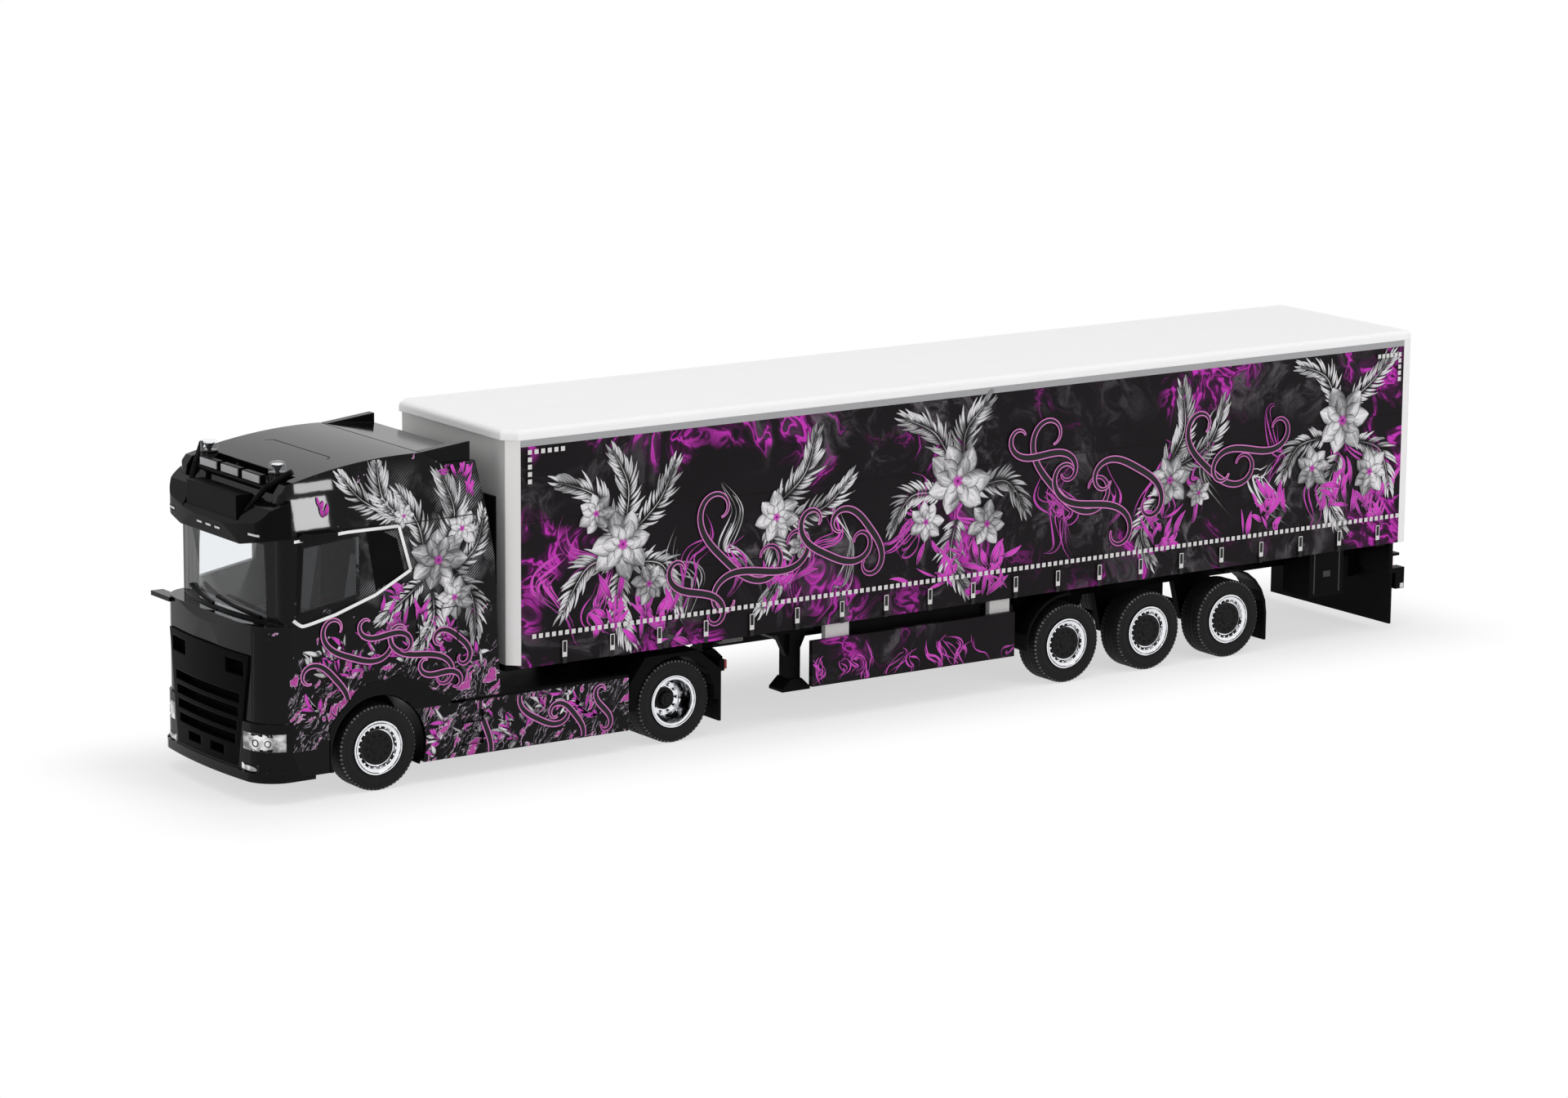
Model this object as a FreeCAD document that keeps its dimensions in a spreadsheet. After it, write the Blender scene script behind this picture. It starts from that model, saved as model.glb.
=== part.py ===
import FreeCAD, Part
import math
import os

import Sketcher

# Decorated articulated lorry, a scale model at 1:87.
# X points forward, Y to the vehicle's left, Z up; the origin is on the floor, in the middle of the length.
# All lengths are millimetres of the model.

doc = FreeCAD.newDocument("DecoratedLorry")
sheet = doc.addObject("Spreadsheet::Sheet", "Sizes")
nodes = []


class Size:
    """A length that knows its value and the cell expression behind it."""

    def __init__(self, value, text):
        self.value = value
        self.text = text

    def __add__(self, other):
        other = as_size(other)
        return Size(self.value + other.value, f"({self.text} + {other.text})")

    def __sub__(self, other):
        other = as_size(other)
        return Size(self.value - other.value, f"({self.text} - {other.text})")

    def __mul__(self, other):
        other = as_size(other)
        return Size(self.value * other.value, f"({self.text} * {other.text})")

    def __truediv__(self, other):
        other = as_size(other)
        return Size(self.value / other.value, f"({self.text} / {other.text})")

    def __neg__(self):
        return Size(-self.value, f"(-1 * {self.text})")

    __radd__ = __add__
    __rmul__ = __mul__


def as_size(number):
    if isinstance(number, Size):
        return number
    return Size(float(number), repr(float(number)))


def root(length):
    return Size(math.sqrt(length.value), f"sqrt({length.text})")


def size(alias, value):
    """Write one driving dimension into the sheet and return it."""
    row = size.rows + 1
    size.rows = row
    sheet.set(f"A{row}", alias)
    sheet.set(f"B{row}", str(value))
    sheet.setAlias(f"B{row}", alias)
    return Size(float(value), f"Sizes.{alias}")


size.rows = 0
ZERO = Size(0.0, "0")


def draw(sketch, outline):
    """Draw one closed outline of (across, up) corners, each fixed by its two coordinates.

    A third value is the radius of an arc from that corner to the next, which bulges
    outwards on an outline that runs anticlockwise, or inwards if it is negative.
    """
    first = sketch.GeometryCount
    edges = []
    starts = []
    for index, corner in enumerate(outline):
        following = outline[(index + 1) % len(outline)]
        start = FreeCAD.Vector(corner[0].value, corner[1].value, 0)
        end = FreeCAD.Vector(following[0].value, following[1].value, 0)
        if len(corner) == 2:
            edges.append(Part.LineSegment(start, end))
            starts.append(1)
            continue
        chord = end - start
        radius = abs(corner[2].value)
        rise = radius - math.sqrt(max(radius * radius - chord.Length * chord.Length / 4, 0))
        side = FreeCAD.Vector(chord.y, -chord.x, 0).normalize()
        crown = (start + end) * 0.5 + side * math.copysign(rise, corner[2].value)
        arc = Part.Arc(start, crown, end)
        edges.append(arc)
        starts.append(1 if corner[2].value > 0 else 2)
    sketch.addGeometry(edges, False)
    rules = []
    bound = []
    for index, corner in enumerate(outline):
        edge = first + index
        before = first + (index - 1) % len(outline)
        begin = starts[index]
        arrive = 3 - starts[index - 1]
        rules.append(Sketcher.Constraint("Coincident", before, arrive, edge, begin))
        bound.append(None)
        rules.append(Sketcher.Constraint("DistanceX", edge, begin, corner[0].value))
        bound.append(corner[0])
        rules.append(Sketcher.Constraint("DistanceY", edge, begin, corner[1].value))
        bound.append(corner[1])
        if len(corner) == 3:
            rules.append(Sketcher.Constraint("Radius", edge, abs(corner[2].value)))
            bound.append(corner[2] if corner[2].value > 0 else -corner[2])
    base = sketch.ConstraintCount
    sketch.addConstraint(rules)
    for index, length in enumerate(bound):
        if length is not None:
            sketch.setExpression(f"Constraints[{base + index}]", length.text)


def sketch_in(body, name, plane, offset, outlines):
    """Put a sketch on one of the body's own origin planes, moved along its normal."""
    sketch = body.newObject("Sketcher::SketchObject", name)
    support = [feature for feature in body.Origin.OriginFeatures if feature.Role == plane + "_Plane"]
    sketch.AttachmentSupport = [(support[0], "")]
    sketch.MapMode = "FlatFace"
    sketch.setExpression("AttachmentOffset.Base.z", offset.text)
    for outline in outlines:
        draw(sketch, outline)
    return sketch


def pad(name, plane, outline, low, high):
    """Extrude an outline along X (plane YZ), Y (plane XZ) or Z (plane XY), from low to high."""
    body = doc.addObject("PartDesign::Body", name)
    offset = -high if plane == "XZ" else low
    sketch = sketch_in(body, name + "_outline", plane, offset, [outline])
    feature = body.newObject("PartDesign::Pad", name + "_pad")
    feature.Profile = sketch
    feature.setExpression("Length", (high - low).text)
    return body


def revolve(name, outline, centre_x, centre_z):
    """Turn an outline of (radius, y) corners about the Y axis through the given centre."""
    body = doc.addObject("PartDesign::Body", name)
    sketch = sketch_in(body, name + "_outline", "XY", ZERO, [outline])
    feature = body.newObject("PartDesign::Revolution", name + "_turn")
    feature.Profile = sketch
    feature.ReferenceAxis = (sketch, ["V_Axis"])
    feature.Angle = 360
    body.setExpression("Placement.Base.x", centre_x.text)
    body.setExpression("Placement.Base.z", centre_z.text)
    return body


def round_edges(body, radius, chosen):
    """Round the edges of a body that the test picks."""
    doc.recompute()
    tip = body.Tip
    names = [f"Edge{number + 1}" for number, edge in enumerate(tip.Shape.Edges) if chosen(edge)]
    feature = body.newObject("PartDesign::Fillet", body.Name + "_round")
    feature.Base = (tip, names)
    feature.setExpression("Radius", radius.text)
    return body


def block(name, x, y, z):
    """A rectangular block between named faces, given as (low, high) pairs."""
    shape = doc.addObject("Part::Box", name)
    for side, (low, high) in zip(("Length", "Width", "Height"), (x, y, z)):
        shape.setExpression(side, (high - low).text)
    for axis, (low, high) in zip("xyz", (x, y, z)):
        shape.setExpression(f"Placement.Base.{axis}", low.text)
    return shape


def rod(name, radius, start, end):
    """A round bar between two points, each given as three lengths."""
    shape = doc.addObject("Part::Cylinder", name)
    shape.setExpression("Radius", radius.text)
    run = [far - near for near, far in zip(start, end)]
    length = root(run[0] * run[0] + run[1] * run[1] + run[2] * run[2])
    shape.setExpression("Height", length.text)
    direction = FreeCAD.Vector(*[part.value for part in run])
    shape.Placement.Rotation = FreeCAD.Rotation(FreeCAD.Vector(0, 0, 1), direction)
    for axis, place in zip("xyz", start):
        shape.setExpression(f"Placement.Base.{axis}", place.text)
    return shape


def faceted_bar(name, sides, radius, start, end):
    """A bar between two points with flat sides, for small or hidden rounds."""
    shape = doc.addObject("Part::Prism", name)
    shape.Polygon = sides
    shape.setExpression("Circumradius", radius.text)
    run = [far - near for near, far in zip(start, end)]
    shape.setExpression("Height", root(run[0] * run[0] + run[1] * run[1] + run[2] * run[2]).text)
    direction = FreeCAD.Vector(*[part.value for part in run])
    shape.Placement.Rotation = FreeCAD.Rotation(FreeCAD.Vector(0, 0, 1), direction)
    for axis, place in zip("xyz", start):
        shape.setExpression(f"Placement.Base.{axis}", place.text)
    return shape


def fuse(name, *shapes):
    joined = doc.addObject("Part::MultiFuse", name)
    joined.Shapes = list(shapes)
    joined.Refine = True
    return joined


def cut(name, base, *tools):
    removed = doc.addObject("Part::Cut", name)
    removed.Base = base
    removed.Tool = tools[0] if len(tools) == 1 else fuse(name + "_tools", *tools)
    removed.Refine = True
    return removed


def common(name, *shapes):
    shared = doc.addObject("Part::MultiCommon", name)
    shared.Shapes = list(shapes)
    shared.Refine = True
    return shared


def group(name, *shapes):
    together = doc.addObject("Part::Compound", name)
    together.Links = list(shapes)
    return together


def mirror(name, source):
    """The same shape on the other side of the lorry."""
    twin = doc.addObject("Part::Mirroring", name)
    twin.Source = source
    twin.Normal = FreeCAD.Vector(0, 1, 0)
    return twin


def pair(name, source):
    return group(name, source, mirror(name + "_right", source))


def node(label, shape):
    """Name a finished sub-part; the label is also the name of its file."""
    shape.Label = label
    nodes.append(shape)
    return shape


# Driving dimensions of the whole lorry.
overall_length = size("overall_length", 195.4)
cab_width = size("cab_width", 28.6)
box_width = size("box_width", 29.4)
buffer_reach = size("buffer_reach", 1.3)
front_overhang = size("front_overhang", 18.05)
wheelbase = size("wheelbase", 46.35)
kingpin_lead = size("kingpin_lead", 6.9)
cab_length = size("cab_length", 32.8)
box_gap = size("box_gap", 5.2)
bogie_setback = size("bogie_setback", 48.25)
bogie_spacing = size("bogie_spacing", 14.9)
tyre_radius = size("tyre_radius", 5.7)
seat_gap = size("seat_gap", 0.02)
bearing_gap = size("bearing_gap", 0.06)
overrun = size("overrun", 2.0)

half_length = overall_length / 2
half_cab = cab_width / 2
beyond_nose_x = half_length + overrun
half_box = box_width / 2
axle_z = tyre_radius
front_axle_x = half_length - front_overhang
drive_axle_x = front_axle_x - wheelbase
kingpin_x = drive_axle_x + kingpin_lead
cab_back_x = half_length - cab_length
box_front_x = cab_back_x - box_gap
box_rear_x = buffer_reach - half_length
bogie_middle_x = box_rear_x + bogie_setback
bogie_front_x = bogie_middle_x + bogie_spacing
bogie_rear_x = bogie_middle_x - bogie_spacing

# Cab form: a bowed nose below, a windscreen set back behind a cowl, and sides that lean in above the header.
form_back_setback = size("form_back_setback", 41.7)
form_back_x = half_length - form_back_setback
extender_low_setback = size("extender_low_setback", 36.5)
extender_low_x = half_length - extender_low_setback
cab_wall = size("cab_wall", 1.1)
sill_z = size("sill_z", 2.0)
belt_z = size("belt_z", 22.0)
cowl_z = size("cowl_z", 23.3)
header_z = size("header_z", 34.2)
crown_z = size("crown_z", 45.0)
nose_low_setback = size("nose_low_setback", 1.2)
nose_low_x = half_length - nose_low_setback
nose_belt_setback = size("nose_belt_setback", 0.7)
nose_belt_x = half_length - nose_belt_setback
nose_cowl_setback = size("nose_cowl_setback", 1.1)
nose_cowl_x = half_length - nose_cowl_setback
screen_low_setback = size("screen_low_setback", 2.8)
screen_low_x = half_length - screen_low_setback
nose_header_setback = size("nose_header_setback", 3.65)
nose_header_x = half_length - nose_header_setback
nose_crown_setback = size("nose_crown_setback", 5.1)
nose_crown_x = half_length - nose_crown_setback
crown_half_width = size("crown_half_width", 12.9)
nose_corner = (
    size("corner_width", 3.5),
    size("corner_reach", 4.2),
    size("corner_radius", 4.6),
    size("bow_radius", 85.0),
)
screen_corner = (
    size("screen_corner_width", 2.1),
    size("screen_corner_reach", 1.6),
    size("screen_corner_radius", 2.3),
    size("screen_bow_radius", 50.0),
)


def bow_depth(corner):
    """How far a bowed front falls back between its middle and its shoulders."""
    width, reach, radius, bow = corner
    shoulder_half = half_cab - width
    return bow - root(bow * bow - shoulder_half * shoulder_half)


nose_bow = bow_depth(nose_corner)


def nose_outline(back_x, nose_x, half_width, corner=nose_corner):
    """Plan view of the cab: straight sides, round front corners and a bowed front."""
    width, reach, radius, bow = corner
    shoulder_x = nose_x - bow_depth(corner)
    side_x = shoulder_x - reach
    shoulder_y = half_width - width
    return [
        (back_x, -half_width),
        (side_x, -half_width, radius),
        (shoulder_x, -shoulder_y, bow),
        (shoulder_x, shoulder_y, radius),
        (side_x, half_width),
        (back_x, half_width),
    ]


def straight(outline):
    """The same corners joined by straight lines, for hollows behind a wall."""
    return [corner[:2] for corner in outline]


def cab_form(name, inset, finish=list):
    """The cab's form, or the space inside it at a given wall thickness."""
    nose_plan = pad(
        name + "_nose_plan", "XY",
        finish(nose_outline(form_back_x, nose_belt_x - inset, half_cab - inset)),
        sill_z, cowl_z,
    )
    nose_side = pad(name + "_nose_side", "XZ", [
        (extender_low_x, sill_z),
        (nose_low_x - inset, sill_z),
        (nose_belt_x - inset, belt_z - inset),
        (nose_cowl_x - inset, cowl_z - inset),
        (extender_low_x, cowl_z - inset),
    ], -half_cab - overrun, half_cab + overrun)
    screen_plan = pad(
        name + "_screen_plan", "XY",
        finish(nose_outline(form_back_x, screen_low_x - inset, half_cab - inset, screen_corner)),
        sill_z, crown_z,
    )
    screen_side = pad(name + "_screen_side", "XZ", [
        (extender_low_x, sill_z),
        (screen_low_x - inset, sill_z),
        (screen_low_x - inset, cowl_z),
        (nose_header_x - inset, header_z),
        (nose_crown_x - inset, crown_z),
        (extender_low_x, crown_z),
    ], -half_cab - overrun, half_cab + overrun)
    front_view = pad(name + "_front_view", "YZ", [
        (-half_cab - overrun, sill_z),
        (half_cab + overrun, sill_z),
        (half_cab + overrun, header_z),
        (half_cab - inset, header_z),
        (crown_half_width - inset, crown_z),
        (-crown_half_width + inset, crown_z),
        (-half_cab + inset, header_z),
        (-half_cab - overrun, header_z),
    ], form_back_x, beyond_nose_x)
    return fuse(
        name,
        common(name + "_nose", nose_plan, nose_side),
        common(name + "_screen", screen_plan, screen_side, front_view),
    )


# Front wheel arch: angular outside, round inside.
flare_front_ahead = size("flare_front_ahead", 7.25)
flare_front_x = front_axle_x + flare_front_ahead
flare_rise_z = size("flare_rise_z", 9.6)
flare_top_front_ahead = size("flare_top_front_ahead", 2.85)
flare_top_front_x = front_axle_x + flare_top_front_ahead
flare_top_front_z = size("flare_top_front_z", 14.2)
flare_top_setback = size("flare_top_setback", 3.35)
flare_top_x = front_axle_x - flare_top_setback
flare_top_z = size("flare_top_z", 15.0)
flare_top_rear_setback = size("flare_top_rear_setback", 6.15)
flare_top_rear_x = front_axle_x - flare_top_rear_setback
flare_top_rear_z = size("flare_top_rear_z", 13.9)
flare_rear_setback = size("flare_rear_setback", 11.15)
flare_rear_x = front_axle_x - flare_rear_setback
deck_low_z = size("deck_low_z", 10.2)
deck_top_z = size("deck_top_z", 10.6)
cab_step_z = size("cab_step_z", 3.4)
arch_radius = size("arch_radius", 7.1)
flare_depth = size("flare_depth", 2.7)
flare_proud = size("flare_proud", 0.15)

flare_slope = (flare_top_rear_z - deck_low_z) / (flare_top_rear_x - flare_rear_x)
flare_deck_x = flare_rear_x + (deck_top_z - deck_low_z) / flare_slope
flare_corners = [
    (flare_top_rear_x, flare_top_rear_z),
    (flare_top_x, flare_top_z),
    (flare_top_front_x, flare_top_front_z),
    (flare_front_x, flare_rise_z),
    (flare_front_x, cab_step_z),
]

# Front corner joint between the cab's entry panel and the bumper.
joint_low_setback = size("joint_low_setback", 6.5)
joint_low_x = half_length - joint_low_setback
joint_middle_setback = size("joint_middle_setback", 5.3)
joint_middle_x = half_length - joint_middle_setback
joint_middle_z = size("joint_middle_z", 6.4)
joint_notch_setback = size("joint_notch_setback", 6.1)
joint_notch_x = half_length - joint_notch_setback
joint_notch_z = size("joint_notch_z", 9.4)
joint_top_setback = size("joint_top_setback", 5.5)
joint_top_x = half_length - joint_top_setback
bumper_top_z = size("bumper_top_z", 10.6)
joint_corners = [
    (joint_low_x, cab_step_z),
    (joint_middle_x, joint_middle_z),
    (joint_notch_x, joint_notch_z),
    (joint_top_x, bumper_top_z),
]

# Roof line of the cab.
forehead_z = size("forehead_z", 38.6)
forehead_setback = size("forehead_setback", 3.3)
forehead_x = half_length - forehead_setback
roof_front_setback = size("roof_front_setback", 5.3)
roof_front_x = half_length - roof_front_setback
roof_front_z = size("roof_front_z", 41.4)
hinge_setback = size("hinge_setback", 25.2)
hinge_x = half_length - hinge_setback
hinge_z = size("hinge_z", 43.7)
roof_bow_radius = size("roof_bow_radius", 70.0)
roof_step_setback = size("roof_step_setback", 28.4)
roof_step_x = half_length - roof_step_setback
roof_step_z = size("roof_step_z", 42.0)

cab_side = pad("cab_side_view", "XZ", [
    (cab_back_x, deck_top_z),
    (flare_deck_x, deck_top_z),
    *flare_corners,
    *joint_corners,
    (beyond_nose_x, bumper_top_z),
    (beyond_nose_x, forehead_z),
    (forehead_x, forehead_z),
    (roof_front_x, roof_front_z, roof_bow_radius),
    (hinge_x, hinge_z),
    (roof_step_x, roof_step_z),
    (cab_back_x, roof_step_z),
], -half_cab - overrun, half_cab + overrun)
cab_outer = cab_form("cab_outer", ZERO)
cab_solid = common("cab_solid", cab_outer, cab_side)

# Room inside the cab, above and below its floor.
floor_low_z = size("floor_low_z", 15.1)
floor_top_z = size("floor_top_z", 16.0)
roof_wall = size("roof_wall", 1.2)
room_front_setback = size("room_front_setback", 7.5)
room_front_x = half_length - room_front_setback
room_header_setback = size("room_header_setback", 4.9)
room_header_x = half_length - room_header_setback
room_header_z = size("room_header_z", 36.4)
room_front_z = size("room_front_z", 39.9)
room_side = pad("room_side_view", "XZ", [
    (cab_back_x + cab_wall, ZERO - overrun),
    (beyond_nose_x, ZERO - overrun),
    (beyond_nose_x, room_header_z),
    (room_header_x, room_header_z),
    (room_front_x, room_front_z, roof_bow_radius),
    (hinge_x, hinge_z - roof_wall),
    (roof_step_x, roof_step_z - roof_wall),
    (cab_back_x + cab_wall, roof_step_z - roof_wall),
], -half_cab, half_cab)
cab_inner = cab_form("cab_inner", cab_wall, straight)
cab_room = common("cab_room", cab_inner, room_side)
cab_floor = common("cab_floor", cab_inner, block(
    "cab_floor_block",
    (cab_back_x + cab_wall, half_length),
    (-half_cab, half_cab),
    (floor_low_z, floor_top_z),
))

# Recess between the roof's side cheeks, with a ledge for the beacons.
cheek_width = size("cheek_width", 1.3)
recess_low_setback = size("recess_low_setback", 4.5)
recess_low_x = half_length - recess_low_setback
recess_low_z = size("recess_low_z", 38.0)
ledge_front_setback = size("ledge_front_setback", 6.0)
ledge_front_x = half_length - ledge_front_setback
ledge_back_setback = size("ledge_back_setback", 7.8)
ledge_back_x = half_length - ledge_back_setback
ledge_z = size("ledge_z", 40.9)
recess = pad("forehead_recess", "XZ", [
    (recess_low_x, recess_low_z),
    (beyond_nose_x, recess_low_z),
    (beyond_nose_x, crown_z),
    (ledge_back_x, crown_z),
    (ledge_back_x, ledge_z),
    (ledge_front_x, ledge_z),
], -crown_half_width + cheek_width, crown_half_width - cheek_width)

# Windscreen and door windows, cut through the walls.
screen_low_z = size("screen_low_z", 23.7)
screen_top_z = size("screen_top_z", 33.5)
screen_low_half = size("screen_low_half", 10.5)
screen_top_half = size("screen_top_half", 10.1)
screen_back_x = nose_header_x - bow_depth(screen_corner) - cab_wall - cab_wall
pane_gap = size("pane_gap", 0.05)
door_front_setback = size("door_front_setback", 6.7)
door_front_x = half_length - door_front_setback
door_front_top_setback = size("door_front_top_setback", 7.3)
door_front_top_x = half_length - door_front_top_setback
door_rear_setback = size("door_rear_setback", 15.4)
door_rear_x = half_length - door_rear_setback
door_low_front_z = size("door_low_front_z", 24.7)
door_low_rear_z = size("door_low_rear_z", 26.2)
door_top_front_z = size("door_top_front_z", 33.3)
door_top_rear_z = size("door_top_rear_z", 34.0)


def screen_outline(gap):
    return [
        (-screen_low_half + gap, screen_low_z + gap),
        (screen_low_half - gap, screen_low_z + gap),
        (screen_top_half - gap, screen_top_z - gap),
        (-screen_top_half + gap, screen_top_z - gap),
    ]


def door_outline(gap):
    return [
        (door_rear_x + gap, door_low_rear_z + gap),
        (door_front_x - gap, door_low_front_z + gap),
        (door_front_top_x - gap, door_top_front_z - gap),
        (door_rear_x + gap, door_top_rear_z - gap),
    ]


screen_hole = pad("screen_hole", "YZ", screen_outline(ZERO), screen_back_x, half_length)
door_holes = pad("door_holes", "XZ", door_outline(ZERO), -half_cab - overrun, half_cab + overrun)

# Opening in the nose that the grille panel fills, narrower towards the bottom.
grille_top_z = size("grille_top_z", 19.3)
grille_low_z = size("grille_low_z", 4.4)
grille_top_half = size("grille_top_half", 10.7)
grille_low_half = size("grille_low_half", 8.2)
grille_depth = size("grille_depth", 2.4)
grille_back_x = nose_belt_x - nose_bow - grille_depth


def grille_outline(gap):
    return [
        (-grille_low_half + gap, grille_low_z + gap),
        (grille_low_half - gap, grille_low_z + gap),
        (grille_top_half - gap, grille_top_z - gap),
        (-grille_top_half + gap, grille_top_z - gap),
    ]


grille_hole = pad("grille_hole", "YZ", grille_outline(ZERO), grille_back_x - overrun, beyond_nose_x)

cab_hollow = cut("cab_hollow", cab_solid, cab_room, recess)
cab_with_floor = fuse("cab_with_floor", cab_hollow, cab_floor)
cab_shell = cut("cab_shell_cut", cab_with_floor, screen_hole, door_holes, grille_hole)
node("cab_shell", cab_shell)

# Clear panes that fill the window openings, set flush with the walls.
pane_depth = size("pane_depth", 0.6)
pane_skin = cut(
    "pane_skin",
    common("pane_form", cab_outer, cab_side),
    cab_form("pane_inner", pane_depth),
)
panes = common("panes", pane_skin, fuse(
    "pane_outlines",
    pad("screen_pane", "YZ", screen_outline(pane_gap), screen_back_x, half_length),
    pad("door_panes", "XZ", door_outline(pane_gap), -half_cab - overrun, half_cab + overrun),
))
node("cab_glazing", panes)

# Interior: dashboard, seats and steering wheel in one grey moulding that stands on the floor.
dash_back_setback = size("dash_back_setback", 7.3)
dash_back_x = half_length - dash_back_setback
dash_front_setback = size("dash_front_setback", 3.9)
dash_front_x = half_length - dash_front_setback
dash_brow_setback = size("dash_brow_setback", 5.8)
dash_brow_x = half_length - dash_brow_setback
dash_front_z = size("dash_front_z", 22.1)
dash_top_z = size("dash_top_z", 22.9)
dash_low_z = size("dash_low_z", 21.6)
dash_half = size("dash_half", 10.6)
seat_back_setback = size("seat_back_setback", 19.9)
seat_back_x = half_length - seat_back_setback
seat_front_setback = size("seat_front_setback", 13.7)
seat_front_x = half_length - seat_front_setback
seat_rest_setback = size("seat_rest_setback", 18.3)
seat_rest_x = half_length - seat_rest_setback
seat_z = size("seat_z", 20.6)
seat_top_z = size("seat_top_z", 29.5)
seat_inner_y = size("seat_inner_y", 4.2)
seat_outer_y = size("seat_outer_y", 10.6)
wheel_thickness = size("wheel_thickness", 0.45)
steering_radius = size("steering_radius", 2.5)
steering_sides = 20
steering_y = size("steering_y", 7.2)
steering_setback = size("steering_setback", 9.1)
steering_x = half_length - steering_setback
steering_z = size("steering_z", 24.3)
column_half = size("column_half", 0.4)

dashboard = pad("dashboard", "XZ", [
    (dash_back_x, floor_top_z),
    (dash_front_x, floor_top_z),
    (dash_front_x, dash_front_z),
    (dash_brow_x, dash_front_z),
    (dash_brow_x, dash_top_z),
    (dash_back_x, dash_low_z),
], -dash_half, dash_half)
seat = pad("seat", "XZ", [
    (seat_back_x, floor_top_z),
    (seat_front_x, floor_top_z),
    (seat_front_x, seat_z),
    (seat_rest_x, seat_z),
    (seat_back_x, seat_top_z),
    (seat_back_x - wheel_thickness, seat_top_z),
], seat_inner_y, seat_outer_y)
steering_wheel = faceted_bar(
    "steering_wheel", steering_sides, steering_radius,
    (steering_x, steering_y, steering_z),
    (steering_x + wheel_thickness, steering_y, steering_z - wheel_thickness),
)
steering_column = pad("steering_column", "XZ", [
    (steering_x, steering_z - column_half),
    (dash_back_x, dash_low_z - column_half),
    (dash_back_x, dash_low_z),
    (steering_x, steering_z),
], steering_y - column_half, steering_y + column_half)
dash_with_wheel = fuse("dash_with_wheel", dashboard, steering_wheel, steering_column)
node("cab_interior", group("cab_interior_set", dash_with_wheel, pair("seats", seat)))

# Grille panel: bowed plate with two corner intakes, four stepped slats and two towing recesses.
grille_nose_setback = size("grille_nose_setback", 0.4)
grille_nose_x = half_length - grille_nose_setback
slat_count = 4
slat_top_z = size("slat_top_z", 14.0)
slat_pitch = size("slat_pitch", 1.85)
slat_gap = size("slat_gap", 1.25)
slat_half = size("slat_half", 8.6)
slat_taper = size("slat_taper", 0.35)
slat_depth = size("slat_depth", 1.0)
slat_face_x = grille_nose_x - nose_bow
intake_inner_y = size("intake_inner_y", 5.4)
intake_outer_y = size("intake_outer_y", 9.6)
intake_top_z = size("intake_top_z", 18.4)
intake_low_z = size("intake_low_z", 16.4)
tow_inner_y = size("tow_inner_y", 1.3)
tow_outer_y = size("tow_outer_y", 4.8)
tow_top_z = size("tow_top_z", 6.5)
tow_low_z = size("tow_low_z", 5.3)

grille_plate = common(
    "grille_plate",
    pad("grille_plan", "XY", nose_outline(grille_back_x, grille_nose_x, half_cab), sill_z, belt_z),
    pad("grille_front", "YZ", grille_outline(seat_gap), grille_back_x, beyond_nose_x),
)
grille_cuts = []
for number in range(slat_count):
    top_z = slat_top_z - number * slat_pitch
    low_z = top_z - slat_gap
    half = slat_half - number * slat_taper
    grille_cuts.append(pad(f"slat_gap{number + 1}", "XZ", [
        (slat_face_x - slat_depth, low_z),
        (beyond_nose_x, low_z),
        (beyond_nose_x, top_z),
        (slat_face_x - slat_depth, top_z),
    ], -half, half))
intake = block(
    "intake",
    (slat_face_x - slat_depth, beyond_nose_x),
    (intake_inner_y, intake_outer_y),
    (intake_low_z, intake_top_z),
)
tow_recess = block(
    "tow_recess",
    (slat_face_x - slat_depth, beyond_nose_x),
    (tow_inner_y, tow_outer_y),
    (tow_low_z, tow_top_z),
)
grille_cuts += [pair("intakes", intake), pair("tow_recesses", tow_recess)]
node("grille_panel", cut("grille_panel_cut", grille_plate, *grille_cuts))

# Front bumper: a band under the cab that wraps its corners, with a proud lip and lamp pockets.
bumper_low_z = size("bumper_low_z", 2.9)
bumper_wall = size("bumper_wall", 1.5)
bumper_back_setback = size("bumper_back_setback", 8.7)
bumper_back_x = half_length - bumper_back_setback
lip_top_z = size("lip_top_z", 4.2)
head_inner_y = size("head_inner_y", 9.3)
head_back_setback = size("head_back_setback", 4.5)
head_back_x = half_length - head_back_setback
head_low_z = size("head_low_z", 7.0)
head_top_z = size("head_top_z", 9.3)
fog_inner_y = size("fog_inner_y", 8.9)
fog_outer_y = size("fog_outer_y", 12.0)
fog_low_z = size("fog_low_z", 4.1)
fog_top_z = size("fog_top_z", 5.1)
lamp_depth = size("lamp_depth", 1.0)

bumper_form = common(
    "bumper_form",
    pad("bumper_plan", "XY", nose_outline(bumper_back_x, grille_nose_x, half_cab + seat_gap),
        bumper_low_z, bumper_top_z - seat_gap),
    pad("bumper_side", "XZ", [
        (bumper_back_x, bumper_low_z),
        (beyond_nose_x, bumper_low_z),
        (beyond_nose_x, bumper_top_z - seat_gap),
        (joint_top_x + seat_gap, bumper_top_z - seat_gap),
        (joint_notch_x + seat_gap, joint_notch_z),
        (joint_middle_x + seat_gap, joint_middle_z),
        (joint_low_x + seat_gap, cab_step_z),
        (bumper_back_x, cab_step_z),
    ], -half_cab - overrun, half_cab + overrun),
)
bumper_lip = pad(
    "bumper_lip", "XY",
    nose_outline(joint_middle_x + seat_gap, half_length, half_cab + seat_gap),
    bumper_low_z, lip_top_z,
)
bumper_room = pad(
    "bumper_room", "XY",
    straight(nose_outline(bumper_back_x - overrun, grille_nose_x - bumper_wall, half_cab - bumper_wall)),
    lip_top_z, bumper_top_z,
)
head_pocket = block(
    "head_pocket",
    (head_back_x - seat_gap, beyond_nose_x),
    (head_inner_y - seat_gap, half_cab + overrun),
    (head_low_z - seat_gap, head_top_z + seat_gap),
)
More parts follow.
